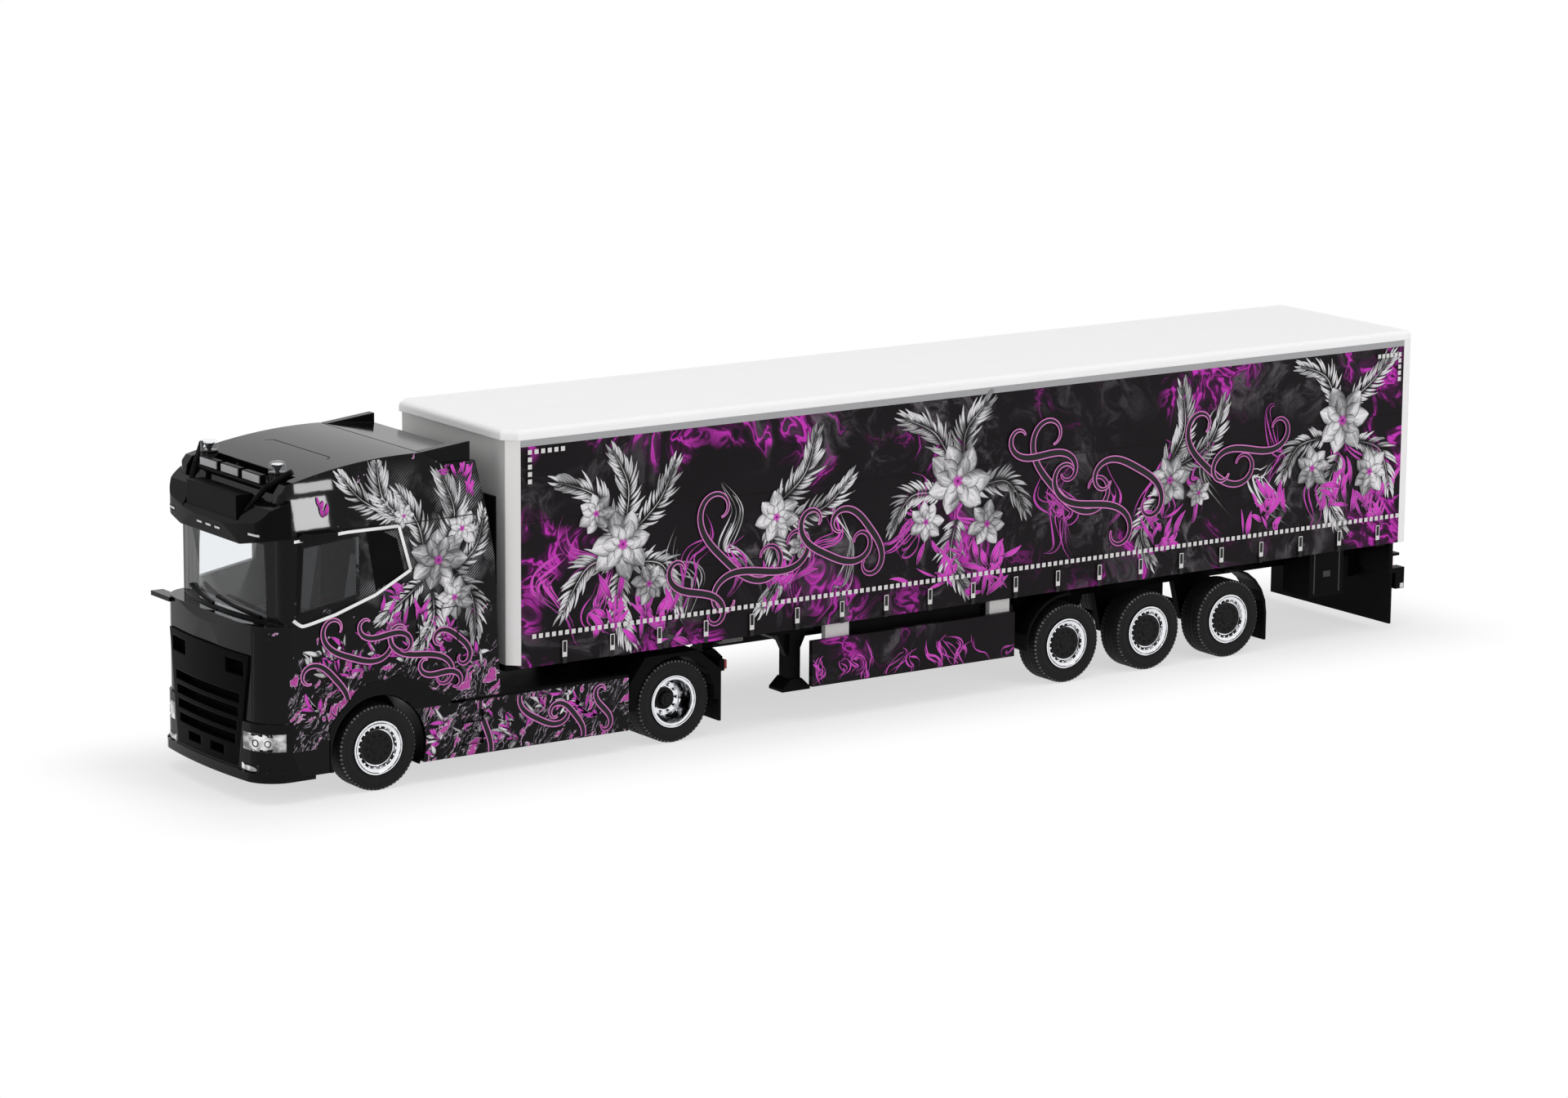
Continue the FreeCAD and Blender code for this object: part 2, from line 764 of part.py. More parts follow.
fog_pocket = block(
    "fog_pocket",
    (head_back_x, beyond_nose_x),
    (fog_inner_y - seat_gap, fog_outer_y + seat_gap),
    (fog_low_z - seat_gap, fog_top_z + seat_gap),
)
bumper_grille_hole = pad(
    "bumper_grille_hole", "YZ", grille_outline(ZERO), bumper_back_x, beyond_nose_x,
)
front_bumper = cut(
    "front_bumper_cut",
    fuse("bumper_with_lip", bumper_form, bumper_lip),
    bumper_room,
    bumper_grille_hole,
    pair("head_pockets", head_pocket),
    pair("fog_pockets", fog_pocket),
)
node("front_bumper", front_bumper)

# Clear head and fog lamps that fill the pockets.
lamp_skin = cut(
    "lamp_skin",
    pad("lamp_plan", "XY", nose_outline(bumper_back_x, grille_nose_x, half_cab), bumper_low_z, bumper_top_z),
    pad("lamp_inner", "XY", straight(nose_outline(
        bumper_back_x - overrun, grille_nose_x - lamp_depth, half_cab - lamp_depth,
    )), bumper_low_z - overrun, bumper_top_z + overrun),
)
head_lamp = block(
    "head_lamp_block",
    (head_back_x, beyond_nose_x),
    (head_inner_y, half_cab + overrun),
    (head_low_z, head_top_z),
)
fog_lamp = block(
    "fog_lamp_block",
    (head_back_x + lamp_depth, beyond_nose_x),
    (fog_inner_y, fog_outer_y),
    (fog_low_z, fog_top_z),
)
node("front_lamps", common("front_lamps_set", lamp_skin, group(
    "front_lamp_blocks", pair("head_lamps", head_lamp), pair("fog_lamps", fog_lamp),
)))

# Sun visor: a band round the windscreen's header with a drooping lip and a seat for the sign box.
visor_nose_setback = size("visor_nose_setback", 1.2)
visor_nose_x = half_length - visor_nose_setback
visor_proud = size("visor_proud", 0.5)
visor_wall = size("visor_wall", 0.8)
visor_low_z = size("visor_low_z", 33.45)
visor_low_setback = size("visor_low_setback", 1.5)
visor_low_x = half_length - visor_low_setback
visor_lip_z = size("visor_lip_z", 35.6)
visor_top_z = size("visor_top_z", 38.5)
visor_top_setback = size("visor_top_setback", 3.1)
visor_top_x = half_length - visor_top_setback
visor_end_setback = size("visor_end_setback", 5.3)
visor_end_x = half_length - visor_end_setback
visor_end_low_z = size("visor_end_low_z", 34.4)
visor_end_top_z = size("visor_end_top_z", 39.6)
visor_shelf_z = size("visor_shelf_z", 34.6)
visor_level_half = size("visor_level_half", 8.0)
visor_rise_z = size("visor_rise_z", 34.8)
notch_half = size("notch_half", 7.3)
notch_front_setback = size("notch_front_setback", 1.8)
notch_front_x = half_length - notch_front_setback
notch_z = size("notch_z", 36.3)

visor_front = pad("visor_front", "YZ", [
    (-visor_level_half, visor_low_z),
    (visor_level_half, visor_low_z),
    (half_cab + visor_proud, visor_rise_z),
    (half_cab + visor_proud, crown_z),
    (-half_cab - visor_proud, crown_z),
    (-half_cab - visor_proud, visor_rise_z),
], visor_end_x - overrun, beyond_nose_x)
visor_notch = pad("visor_notch", "XZ", [
    (notch_front_x, notch_z),
    (visor_nose_x, visor_lip_z),
    (beyond_nose_x, visor_lip_z),
    (beyond_nose_x, crown_z),
    (visor_end_x - overrun, crown_z),
    (visor_end_x - overrun, notch_z),
], -notch_half, notch_half)
visor_band = cut(
    "visor_band",
    common(
        "visor_form",
        pad("visor_plan", "XY", nose_outline(visor_end_x - overrun, visor_nose_x, half_cab + visor_proud),
            visor_low_z, crown_z),
        pad("visor_side", "XZ", [
            (visor_end_x, visor_end_low_z),
            (visor_end_x + visor_proud, visor_low_z),
            (visor_low_x, visor_low_z),
            (visor_nose_x, visor_lip_z),
            (visor_top_x, visor_top_z),
            (visor_end_x, visor_end_top_z),
        ], -half_cab - overrun, half_cab + overrun),
        visor_front,
    ),
    visor_notch,
)
visor_room = pad(
    "visor_room", "XY",
    straight(nose_outline(visor_end_x - overrun, visor_nose_x - visor_wall, half_cab + visor_proud - visor_wall)),
    visor_low_z - overrun, visor_shelf_z,
)
node("sun_visor", cut("sun_visor_cut", visor_band, visor_room, cab_solid))

# Sign box on the visor, with a blank face.
sign_back_setback = size("sign_back_setback", 4.3)
sign_back_x = half_length - sign_back_setback
sign_half = size("sign_half", 6.65)
sign_top_z = size("sign_top_z", 39.5)
sign_block = block(
    "sign_block",
    (sign_back_x, notch_front_x),
    (-sign_half, sign_half),
    (notch_z, sign_top_z),
)
cab_closed = cut("cab_closed", common("cab_closed_form", cab_outer, cab_side), recess)
node("sign_box", cut("sign_box_cut", sign_block, cab_closed))

# Roof bar: one cross tube between two side tubes that rise from the visor and lean back over the cheeks.
bar_radius = size("bar_radius", 0.4)
bar_sides = 8
bar_setback = size("bar_setback", 5.0)
bar_x = half_length - bar_setback
bar_z = size("bar_z", 40.5)
bar_foot_setback = size("bar_foot_setback", 2.7)
bar_foot_y = size("bar_foot_y", 7.75)
bar_foot_z = size("bar_foot_z", 37.6)
bar_foot = (half_length - bar_foot_setback, bar_foot_y, bar_foot_z)
bar_bend_setback = size("bar_bend_setback", 4.6)
bar_bend_y = size("bar_bend_y", 9.5)
bar_bend_z = size("bar_bend_z", 40.7)
bar_bend = (half_length - bar_bend_setback, bar_bend_y, bar_bend_z)
bar_end_setback = size("bar_end_setback", 7.0)
bar_end_y = size("bar_end_y", 12.1)
bar_end_z = size("bar_end_z", 42.9)
bar_end = (half_length - bar_end_setback, bar_end_y, bar_end_z)
bar_leg = fuse(
    "bar_leg",
    faceted_bar("bar_leg_low", bar_sides, bar_radius, bar_foot, bar_bend),
    faceted_bar("bar_leg_high", bar_sides, bar_radius, bar_bend, bar_end),
)
bar_tube = faceted_bar(
    "bar_tube", bar_sides, bar_radius,
    (bar_x, -bar_bend[1], bar_z),
    (bar_x, bar_bend[1], bar_z),
)
bar_frame = fuse("bar_frame", bar_tube, pair("bar_legs", bar_leg))

# Three square lamps stand on the bar, and two beacons on the ledge behind it.
roof_lamp_pitch = size("roof_lamp_pitch", 5.7)
roof_lamp_half = size("roof_lamp_half", 2.3)
roof_lamp_height = size("roof_lamp_height", 1.15)
roof_lamp_depth = size("roof_lamp_depth", 0.8)
lens_depth = size("lens_depth", 0.15)
lens_rim = size("lens_rim", 0.1)
beacon_setback = size("beacon_setback", 6.5)
beacon_x = half_length - beacon_setback
beacon_y = size("beacon_y", 9.1)
beacon_radius = size("beacon_radius", 1.2)
beacon_sides = 20
beacon_height = size("beacon_height", 3.0)

bar_top_z = bar_z + bar_radius
lamp_front_x = bar_x + roof_lamp_depth / 2
housings = []
lenses = []
for number, place in enumerate((-roof_lamp_pitch, ZERO, roof_lamp_pitch)):
    housings.append(block(
        f"roof_lamp{number + 1}",
        (lamp_front_x - roof_lamp_depth, lamp_front_x),
        (place - roof_lamp_half, place + roof_lamp_half),
        (bar_top_z, bar_top_z + roof_lamp_height),
    ))
    lenses.append(block(
        f"roof_lens{number + 1}",
        (lamp_front_x, lamp_front_x + lens_depth),
        (place - roof_lamp_half + lens_rim, place + roof_lamp_half - lens_rim),
        (bar_top_z + lens_rim, bar_top_z + roof_lamp_height - lens_rim),
    ))
beacon = faceted_bar(
    "beacon", beacon_sides, beacon_radius,
    (beacon_x, beacon_y, ledge_z),
    (beacon_x, beacon_y, ledge_z + beacon_height),
)
node("roof_bar", cut("roof_bar_cut", bar_frame, visor_band, cab_closed))
node("roof_lamps", group("roof_lamp_set", *housings))
node("roof_lamp_lenses", group("roof_lamp_lens_set", *lenses))
node("beacons", pair("beacon_pair", beacon))

# Roof deflector: a plate behind the hinge line with raised cheeks at both sides.
deflector_rear_z = size("deflector_rear_z", 43.2)
cheek_rear_z = size("cheek_rear_z", 44.5)
deflector_half = size("deflector_half", 12.95)
deflector_gap = size("deflector_gap", 0.15)
deflector_nose_x = hinge_x - deflector_gap
deflector_nose_z = hinge_z - deflector_gap * (hinge_z - roof_step_z) / (hinge_x - roof_step_x)
deflector_plate = pad("deflector_plate", "XZ", [
    (cab_back_x, roof_step_z),
    (roof_step_x, roof_step_z),
    (deflector_nose_x, deflector_nose_z),
    (deflector_nose_x, hinge_z),
    (cab_back_x, deflector_rear_z),
], -deflector_half, deflector_half)
deflector_cheek = pad("deflector_cheek", "XZ", [
    (cab_back_x, roof_step_z),
    (roof_step_x, roof_step_z),
    (deflector_nose_x, deflector_nose_z),
    (deflector_nose_x, hinge_z),
    (cab_back_x, cheek_rear_z),
], deflector_half - cheek_width, deflector_half)
node("roof_deflector", fuse("roof_deflector_set", deflector_plate, pair("deflector_cheeks", deflector_cheek)))

# Side extenders behind the cab, thin walls that follow the cab's form.
extender_middle_setback = size("extender_middle_setback", 35.7)
extender_middle_x = half_length - extender_middle_setback
extender_middle_z = size("extender_middle_z", 29.0)
extender_top_setback = size("extender_top_setback", 33.4)
extender_top_x = half_length - extender_top_setback
extender_wall = size("extender_wall", 0.8)
extender_side = pad("extender_side", "XZ", [
    (extender_low_x, deck_top_z),
    (cab_back_x - seat_gap, deck_top_z),
    (cab_back_x - seat_gap, roof_step_z),
    (extender_top_x, roof_step_z),
    (extender_middle_x, extender_middle_z),
], -half_cab - overrun, half_cab + overrun)
node("side_extenders", cut(
    "side_extenders_cut",
    common("extender_form", cab_form("extender_outer", ZERO), extender_side),
    cab_form("extender_inner", extender_wall, straight),
))

# Front wheel arch flares.
arch_cut = rod(
    "arch_cut", arch_radius,
    (front_axle_x, -half_cab - overrun, axle_z),
    (front_axle_x, half_cab + overrun, axle_z),
)
flare_form = pad("flare_form", "XZ", [
    (flare_rear_x, deck_low_z),
    (front_axle_x, deck_low_z),
    (front_axle_x, cab_step_z),
    (flare_front_x, cab_step_z),
    (flare_front_x, flare_rise_z),
    (flare_top_front_x, flare_top_front_z),
    (flare_top_x, flare_top_z),
    (flare_top_rear_x, flare_top_rear_z),
], half_cab - flare_depth, half_cab + flare_proud)
flare = cut("flare", flare_form, arch_cut)
node("wheel_flares", pair("wheel_flare_pair", flare))

# Wipers: two arms with blades, parked across the windscreen's foot.
wiper_depth = size("wiper_depth", 0.4)
wiper_width = size("wiper_width", 0.35)
wiper_pivot_z = size("wiper_pivot_z", 23.7)
wiper_tip_z = size("wiper_tip_z", 24.8)
left_pivot_y = size("left_pivot_y", 9.7)
left_tip_y = size("left_tip_y", -0.6)
right_pivot_y = size("right_pivot_y", -1.4)
right_tip_y = size("right_tip_y", -8.8)
wipers = []
for name, pivot_y, tip_y in (("left_wiper", left_pivot_y, left_tip_y), ("right_wiper", right_pivot_y, right_tip_y)):
    wipers.append(pad(name, "YZ", [
        (tip_y, wiper_tip_z),
        (pivot_y, wiper_pivot_z),
        (pivot_y, wiper_pivot_z + wiper_width),
        (tip_y, wiper_tip_z + wiper_width),
    ], screen_back_x, half_length))
wiper_skin = cut(
    "wiper_skin",
    common("wiper_zone", cab_form("wiper_form", -wiper_depth), group("wiper_set", *wipers)),
    cab_solid,
)
node("wipers", wiper_skin)

# Mirror arms over the doors and one front view plate at the right corner.
mirror_front_setback = size("mirror_front_setback", 6.5)
mirror_front_x = half_length - mirror_front_setback
mirror_rear_setback = size("mirror_rear_setback", 11.1)
mirror_rear_x = half_length - mirror_rear_setback
mirror_low_z = size("mirror_low_z", 34.3)
mirror_top_z = size("mirror_top_z", 35.4)
mirror_reach = size("mirror_reach", 2.2)
mirror_tip = size("mirror_tip", 1.2)
corner_plate_setback = size("corner_plate_setback", 1.8)
corner_plate_x = half_length - corner_plate_setback
corner_plate_y = size("corner_plate_y", 10.4)
corner_plate_end_y = size("corner_plate_end_y", 15.5)
corner_plate_low_z = size("corner_plate_low_z", 22.6)
corner_plate_top_z = size("corner_plate_top_z", 23.2)
corner_plate_half = size("corner_plate_half", 0.9)
mirror_arm = pad("mirror_arm", "XY", [
    (mirror_rear_x, half_cab),
    (mirror_front_x, half_cab),
    (mirror_front_x - mirror_tip, half_cab + mirror_reach),
    (mirror_rear_x, half_cab + mirror_reach),
], mirror_low_z, mirror_top_z)
corner_plate = block(
    "corner_plate",
    (corner_plate_x - corner_plate_half, corner_plate_x + corner_plate_half),
    (-corner_plate_end_y, -corner_plate_y),
    (corner_plate_low_z, corner_plate_top_z),
)
node("mirrors", cut(
    "mirrors_cut",
    group("mirror_set", pair("mirror_arms", mirror_arm), corner_plate),
    cab_solid,
    visor_band,
))

# Tractor frame: two rails, cross members, cab mounts and bearing blocks for both axles.
rail_y = size("rail_y", 3.6)
rail_width = size("rail_width", 1.0)
rail_low_z = size("rail_low_z", 7.4)
rail_rear_setback = size("rail_rear_setback", 8.3)
rail_rear_x = drive_axle_x - rail_rear_setback
rail_front_setback = size("rail_front_setback", 7.1)
rail_front_x = half_length - rail_front_setback
member_half = size("member_half", 0.6)
bearing_low_z = size("bearing_low_z", 4.3)
bearing_half = size("bearing_half", 1.9)
bearing_top_half = size("bearing_top_half", 3.4)
bearing_reach = size("bearing_reach", 2.2)
pin_radius = size("pin_radius", 0.75)
tail_half_y = size("tail_half_y", 12.2)
tail_low_z = size("tail_low_z", 8.6)
tail_depth = size("tail_depth", 0.8)
front_beam_setback = size("front_beam_setback", 10.1)
front_beam_x = half_length - front_beam_setback
front_beam_half_y = size("front_beam_half_y", 11.4)
mount_half = size("mount_half", 1.0)
mount_front_setback = size("mount_front_setback", 9.3)
mount_front_x = half_length - mount_front_setback
mount_rear_setback = size("mount_rear_setback", 30.1)
mount_rear_x = half_length - mount_rear_setback

rail_outer_y = rail_y + rail_width
rail = block("rail", (rail_rear_x, rail_front_x), (rail_y, rail_outer_y), (rail_low_z, deck_low_z))
members = []
for number, place in enumerate((drive_axle_x - wheelbase / 6, drive_axle_x + wheelbase / 4,
                                drive_axle_x + wheelbase / 2, front_axle_x - wheelbase / 6)):
    members.append(block(
        f"member{number + 1}",
        (place - member_half, place + member_half),
        (-rail_y, rail_y),
        (rail_low_z, deck_low_z),
    ))


def bearing(name, centre_x, top_z, low_z, inner_y, outer_y):
    """A tapered block with a square slot, open below, that an axle clips into."""
    slot = pin_radius + bearing_gap
    return pad(name, "XZ", [
        (centre_x - bearing_half, low_z),
        (centre_x - slot, low_z),
        (centre_x - slot, axle_z + slot),
        (centre_x + slot, axle_z + slot),
        (centre_x + slot, low_z),
        (centre_x + bearing_half, low_z),
        (centre_x + bearing_top_half, top_z),
        (centre_x - bearing_top_half, top_z),
    ], inner_y, outer_y)


front_bearing = bearing(
    "front_bearing", front_axle_x, rail_low_z, bearing_low_z,
    rail_outer_y - bearing_reach, rail_outer_y,
)
drive_bearing = bearing(
    "drive_bearing", drive_axle_x, rail_low_z, bearing_low_z,
    rail_outer_y - bearing_reach, rail_outer_y,
)
cab_mounts = []
for number, place in enumerate((mount_front_x, mount_rear_x)):
    cab_mounts.append(block(
        f"cab_mount{number + 1}",
        (place - mount_half, place + mount_half),
        (rail_y, rail_outer_y),
        (deck_low_z, floor_low_z),
    ))
tail_beam = block(
    "tail_beam",
    (rail_rear_x - tail_depth, rail_rear_x),
    (-tail_half_y, tail_half_y),
    (tail_low_z, deck_low_z),
)
front_beam = block(
    "front_beam",
    (front_beam_x, rail_front_x),
    (-front_beam_half_y, front_beam_half_y),
    (rail_low_z, deck_low_z),
)
fender_arm_setback = size("fender_arm_setback", 3.7)
fender_arm_x = drive_axle_x - fender_arm_setback
fender_inner_y = size("fender_inner_y", 6.2)
fender_seat_z = size("fender_seat_z", 11.9)
fender_arm = block(
    "fender_arm",
    (fender_arm_x - member_half, fender_arm_x + member_half),
    (rail_y, fender_inner_y),
    (deck_low_z, fender_seat_z),
)
half_frame = fuse("half_frame", rail, front_bearing, drive_bearing, fender_arm, *cab_mounts)
node("tractor_frame", fuse("tractor_frame_set", pair("half_frames", half_frame), tail_beam, front_beam, *members))

# Deck behind the cab, with the top strips of both skirts.
deck_rear_ahead = size("deck_rear_ahead", 14.2)
deck_rear_x = drive_axle_x + deck_rear_ahead
deck_front_setback = size("deck_front_setback", 31.3)
deck_front_x = half_length - deck_front_setback
skirt_rear_ahead = size("skirt_rear_ahead", 7.8)
skirt_rear_x = drive_axle_x + skirt_rear_ahead
skirt_wall = size("skirt_wall", 0.9)
strip_width = size("strip_width", 1.6)
deck_plate = block("deck_plate", (deck_rear_x, deck_front_x), (-half_cab, half_cab), (deck_low_z, deck_top_z))
deck_strip = block(
    "deck_strip",
    (skirt_rear_x, deck_rear_x),
    (half_cab - strip_width, half_cab),
    (deck_low_z, deck_top_z),
)
node("deck", fuse("deck_set", deck_plate, pair("deck_strips", deck_strip)))

# Side skirts with two step recesses, round the arch in front and upright behind.
skirt_low_z = size("skirt_low_z", 2.9)
step_front_setback = size("step_front_setback", 30.5)
step_front_x = half_length - step_front_setback
step_rear_setback = size("step_rear_setback", 33.9)
step_rear_x = half_length - step_rear_setback
step_low_z = size("step_low_z", 4.3)
step_pitch = size("step_pitch", 3.0)
step_rise = size("step_rise", 1.6)
step_depth = size("step_depth", 0.5)
skirt_front_setback = size("skirt_front_setback", 5.45)
skirt_front_x = front_axle_x - skirt_front_setback
skirt_toe_setback = size("skirt_toe_setback", 6.75)
skirt_toe_x = front_axle_x - skirt_toe_setback
skirt_plate = pad("skirt_plate", "XZ", [
    (skirt_rear_x, skirt_low_z),
    (skirt_toe_x, skirt_low_z),
    (skirt_front_x, deck_low_z),
    (skirt_rear_x, deck_low_z),
], half_cab - skirt_wall, half_cab)
steps = []
for number in range(2):
    rise = step_low_z + number * step_pitch
    steps.append(block(
        f"step{number + 1}",
        (step_rear_x, step_front_x),
        (half_cab - step_depth, half_cab + overrun),
        (rise, rise + step_rise),
    ))
node("side_skirts", pair("side_skirt_pair", cut("side_skirt", skirt_plate, arch_cut, *steps)))

# Fifth wheel: a plate with a throat for the kingpin, on a pedestal across the rails.
plate_top_z = size("plate_top_z", 12.6)
plate_low_z = size("plate_low_z", 11.7)
plate_half = size("plate_half", 5.0)
plate_front = size("plate_front", 5.2)
plate_rear = size("plate_rear", 6.2)
throat_half = size("throat_half", 2.6)
pin_gap = size("pin_gap", 0.06)
kingpin_radius = size("kingpin_radius", 1.2)
pedestal_front = size("pedestal_front", 4.2)
pedestal_back = size("pedestal_back", 1.6)
pin_hole = kingpin_radius + pin_gap
coupling_plate = pad("coupling_plate", "XY", [
    (kingpin_x - plate_rear, -plate_half),
    (kingpin_x + plate_front / 2, -plate_half),
    (kingpin_x + plate_front, -plate_half / 2),
    (kingpin_x + plate_front, plate_half / 2),
    (kingpin_x + plate_front / 2, plate_half),
    (kingpin_x - plate_rear, plate_half),
], plate_low_z, plate_top_z)
throat = pad("throat", "XY", [
    (kingpin_x, -pin_hole),
    (kingpin_x, pin_hole),
    (kingpin_x - plate_rear / 2, pin_hole),
    (kingpin_x - plate_rear - overrun, throat_half),
    (kingpin_x - plate_rear - overrun, -throat_half),
    (kingpin_x - plate_rear / 2, -pin_hole),
], plate_low_z - overrun, plate_top_z + overrun)
pin_bore = rod(
    "pin_bore", pin_hole,
    (kingpin_x, ZERO, plate_low_z - overrun),
    (kingpin_x, ZERO, plate_top_z + overrun),
)
pedestal = block(
    "pedestal",
    (kingpin_x + pedestal_back, kingpin_x + pedestal_front),
    (-rail_outer_y, rail_outer_y),
    (deck_low_z, plate_low_z),
)
pedestal_foot = block(
    "pedestal_foot",
    (kingpin_x - pedestal_front, kingpin_x + pedestal_back),
    (rail_y, rail_outer_y),
    (deck_low_z, plate_low_z),
)
node("fifth_wheel", cut(
    "fifth_wheel_cut",
    fuse("fifth_wheel_set", coupling_plate, pedestal, pair("pedestal_feet", pedestal_foot)),
    throat,
    pin_bore,
))

# Drive wheel fenders with mudflaps.
fender_top_z = size("fender_top_z", 12.5)
fender_front_ahead = size("fender_front_ahead", 7.4)
fender_front_x = drive_axle_x + fender_front_ahead
fender_rear_setback = size("fender_rear_setback", 7.4)
fender_rear_x = drive_axle_x - fender_rear_setback
fender_rear_z = size("fender_rear_z", 5.3)
fender_front_fall = size("fender_front_fall", 3.4)
fender_front_run = size("fender_front_run", 2.6)
fender_rear_fall = size("fender_rear_fall", 3.2)
fender_rear_run = size("fender_rear_run", 3.8)
fender_radius = size("fender_radius", 6.35)
guard_ring_sides = 24
fender_outer_y = size("fender_outer_y", 13.9)
flap_low_z = size("flap_low_z", 2.2)
flap_depth = size("flap_depth", 0.4)
fender_form = pad("fender_form", "XZ", [
    (fender_rear_x, fender_rear_z),
    (fender_front_x, fender_rear_z),
    (fender_front_x, fender_top_z - fender_front_fall),
    (fender_front_x - fender_front_run, fender_top_z),
    (fender_rear_x + fender_rear_run, fender_top_z),
    (fender_rear_x, fender_top_z - fender_rear_fall),
], fender_inner_y, fender_outer_y)
fender_space = faceted_bar(
    "fender_space", guard_ring_sides, fender_radius,
    (drive_axle_x, fender_inner_y - overrun, axle_z),
    (drive_axle_x, fender_outer_y + overrun, axle_z),
)
fender_slot = block(
    "fender_slot",
    (drive_axle_x - fender_radius, drive_axle_x + fender_radius),
    (fender_inner_y - overrun, fender_outer_y + overrun),
    (ZERO, axle_z),
)
flap = block(
    "flap",
    (fender_rear_x, fender_rear_x + flap_depth),
    (fender_inner_y, fender_outer_y),
    (flap_low_z, fender_rear_z),
)
fender = fuse("fender", cut("fender_cut", fender_form, fender_space, fender_slot), flap)
node("drive_fenders", pair("drive_fender_pair", fender))

# Tail lamps on the end beam.
tail_lamp_inner_y = size("tail_lamp_inner_y", 8.4)
tail_lamp_depth = size("tail_lamp_depth", 0.5)
tail_rim = size("tail_rim", 0.2)
tail_lamp = block(
    "tail_lamp",
    (rail_rear_x - tail_depth - tail_lamp_depth, rail_rear_x - tail_depth),
    (tail_lamp_inner_y, tail_half_y - tail_rim),
    (tail_low_z + tail_rim, deck_low_z - tail_rim),
)
node("tail_lamps", pair("tail_lamp_pair", tail_lamp))

# Trailer box: floor, front wall with chamfered posts, two sides, rear doors and roof cap.
box_floor_z = size("box_floor_z", 14.0)
box_floor_depth = size("box_floor_depth", 1.4)
box_side_low_z = size("box_side_low_z", 13.6)
box_side_top_z = size("box_side_top_z", 44.1)
box_wall = size("box_wall", 1.0)
box_front_wall = size("box_front_wall", 1.5)
box_rear_wall = size("box_rear_wall", 1.2)
side_front_x = box_front_x - box_front_wall
side_rear_x = box_rear_x + box_rear_wall
box_inner_y = half_box - box_wall

node("box_floor", block(
    "box_floor_plate",
    (side_rear_x, side_front_x),
    (-box_inner_y, box_inner_y),
    (box_floor_z, box_floor_z + box_floor_depth),
))
node("box_front_wall", pad("box_front_plate", "XY", [
    (side_front_x, -half_box),
    (box_front_x, -half_box + box_front_wall),
    (box_front_x, half_box - box_front_wall),
    (side_front_x, half_box),
], box_floor_z, box_side_top_z))
bulkhead_depth = size("bulkhead_depth", 0.35)
bulkhead_half = size("bulkhead_half", 11.0)
bulkhead_low_z = size("bulkhead_low_z", 15.0)
bulkhead_top_z = size("bulkhead_top_z", 36.3)
node("front_bulkhead", block(
    "front_bulkhead_plate",
    (box_front_x, box_front_x + bulkhead_depth),
    (-bulkhead_half, bulkhead_half),
    (bulkhead_low_z, bulkhead_top_z),
))
for label, low_y, high_y in (("box_side_left", box_inner_y, half_box), ("box_side_right", -half_box, -box_inner_y)):
    node(label, block(
        label + "_plate",
        (side_rear_x, side_front_x),
        (low_y, high_y),
        (box_side_low_z, box_side_top_z),
    ))

door_frame = size("door_frame", 1.3)
door_recess = size("door_recess", 0.35)
door_seam = size("door_seam", 0.3)
lock_half = size("lock_half", 0.2)
lock_first_y = size("lock_first_y", 3.2)
lock_second_y = size("lock_second_y", 8.6)
bar_margin = size("bar_margin", 0.6)
door_plate = block("door_plate", (box_rear_x, side_rear_x), (-half_box, half_box), (box_side_low_z, box_side_top_z))
door_leaf_space = block(
    "door_leaf_space",
    (box_rear_x - overrun, box_rear_x + door_recess),
    (door_seam / 2, half_box - door_frame),
    (box_side_low_z + door_frame, box_side_top_z - door_frame),
)
lock_bars = []
for number, place in enumerate((lock_first_y, lock_second_y)):
    lock_bars.append(block(
        f"lock_bar{number + 1}",
        (box_rear_x, box_rear_x + door_recess),
        (place - lock_half, place + lock_half),
        (box_side_low_z + bar_margin, box_side_top_z - bar_margin),
    ))
doors = fuse(
    "doors",
    cut("door_leaves", door_plate, pair("door_leaf_spaces", door_leaf_space)),
    *[pair(lock.Name + "_pair", lock) for lock in lock_bars],
)
node("box_rear_doors", doors)

roof_cap_height = size("roof_cap_height", 1.4)
roof_top_z = box_side_top_z + roof_cap_height
roof_lip = size("roof_lip", 0.6)
roof_chamfer = size("roof_chamfer", 1.7)
roof_round = size("roof_round", 0.7)
roof_cap = pad("roof_cap", "XY", [
    (box_rear_x, -half_box),
    (box_front_x + roof_lip - roof_chamfer, -half_box),
    (box_front_x + roof_lip, -half_box + roof_chamfer),
    (box_front_x + roof_lip, half_box - roof_chamfer),
    (box_front_x + roof_lip - roof_chamfer, half_box),
    (box_rear_x, half_box),
], box_side_top_z, roof_top_z)
round_edges(roof_cap, roof_round, lambda edge: edge.BoundBox.ZMin > roof_top_z.value - roof_round.value)
node("box_roof", roof_cap)

# Trailer chassis: two beams that rise over the coupling, cross members, rubbing plate and axle hangers.
beam_y = size("beam_y", 4.6)
beam_width = size("beam_width", 1.2)
beam_low_z = size("beam_low_z", 10.2)
neck_low_z = size("neck_low_z", 13.1)
trailer_span = kingpin_x - bogie_front_x
neck_start_share = size("neck_start_share", 0.3226685)
neck_end_share = size("neck_end_share", 0.4043567)
neck_start_x = kingpin_x - trailer_span * neck_start_share
neck_end_x = kingpin_x - trailer_span * neck_end_share
beam_rear_x = box_rear_x + box_rear_wall + member_half
cross_half = size("cross_half", 0.7)
rubbing_rear_setback = size("rubbing_rear_setback", 9.2)
rubbing_rear_x = kingpin_x - rubbing_rear_setback
rubbing_half = size("rubbing_half", 9.0)
coupling_gap = size("coupling_gap", 0.05)
foot_depth = size("foot_depth", 2.6)
foot_half = size("foot_half", 13.0)
rear_hanger_low_z = size("rear_hanger_low_z", 7.0)

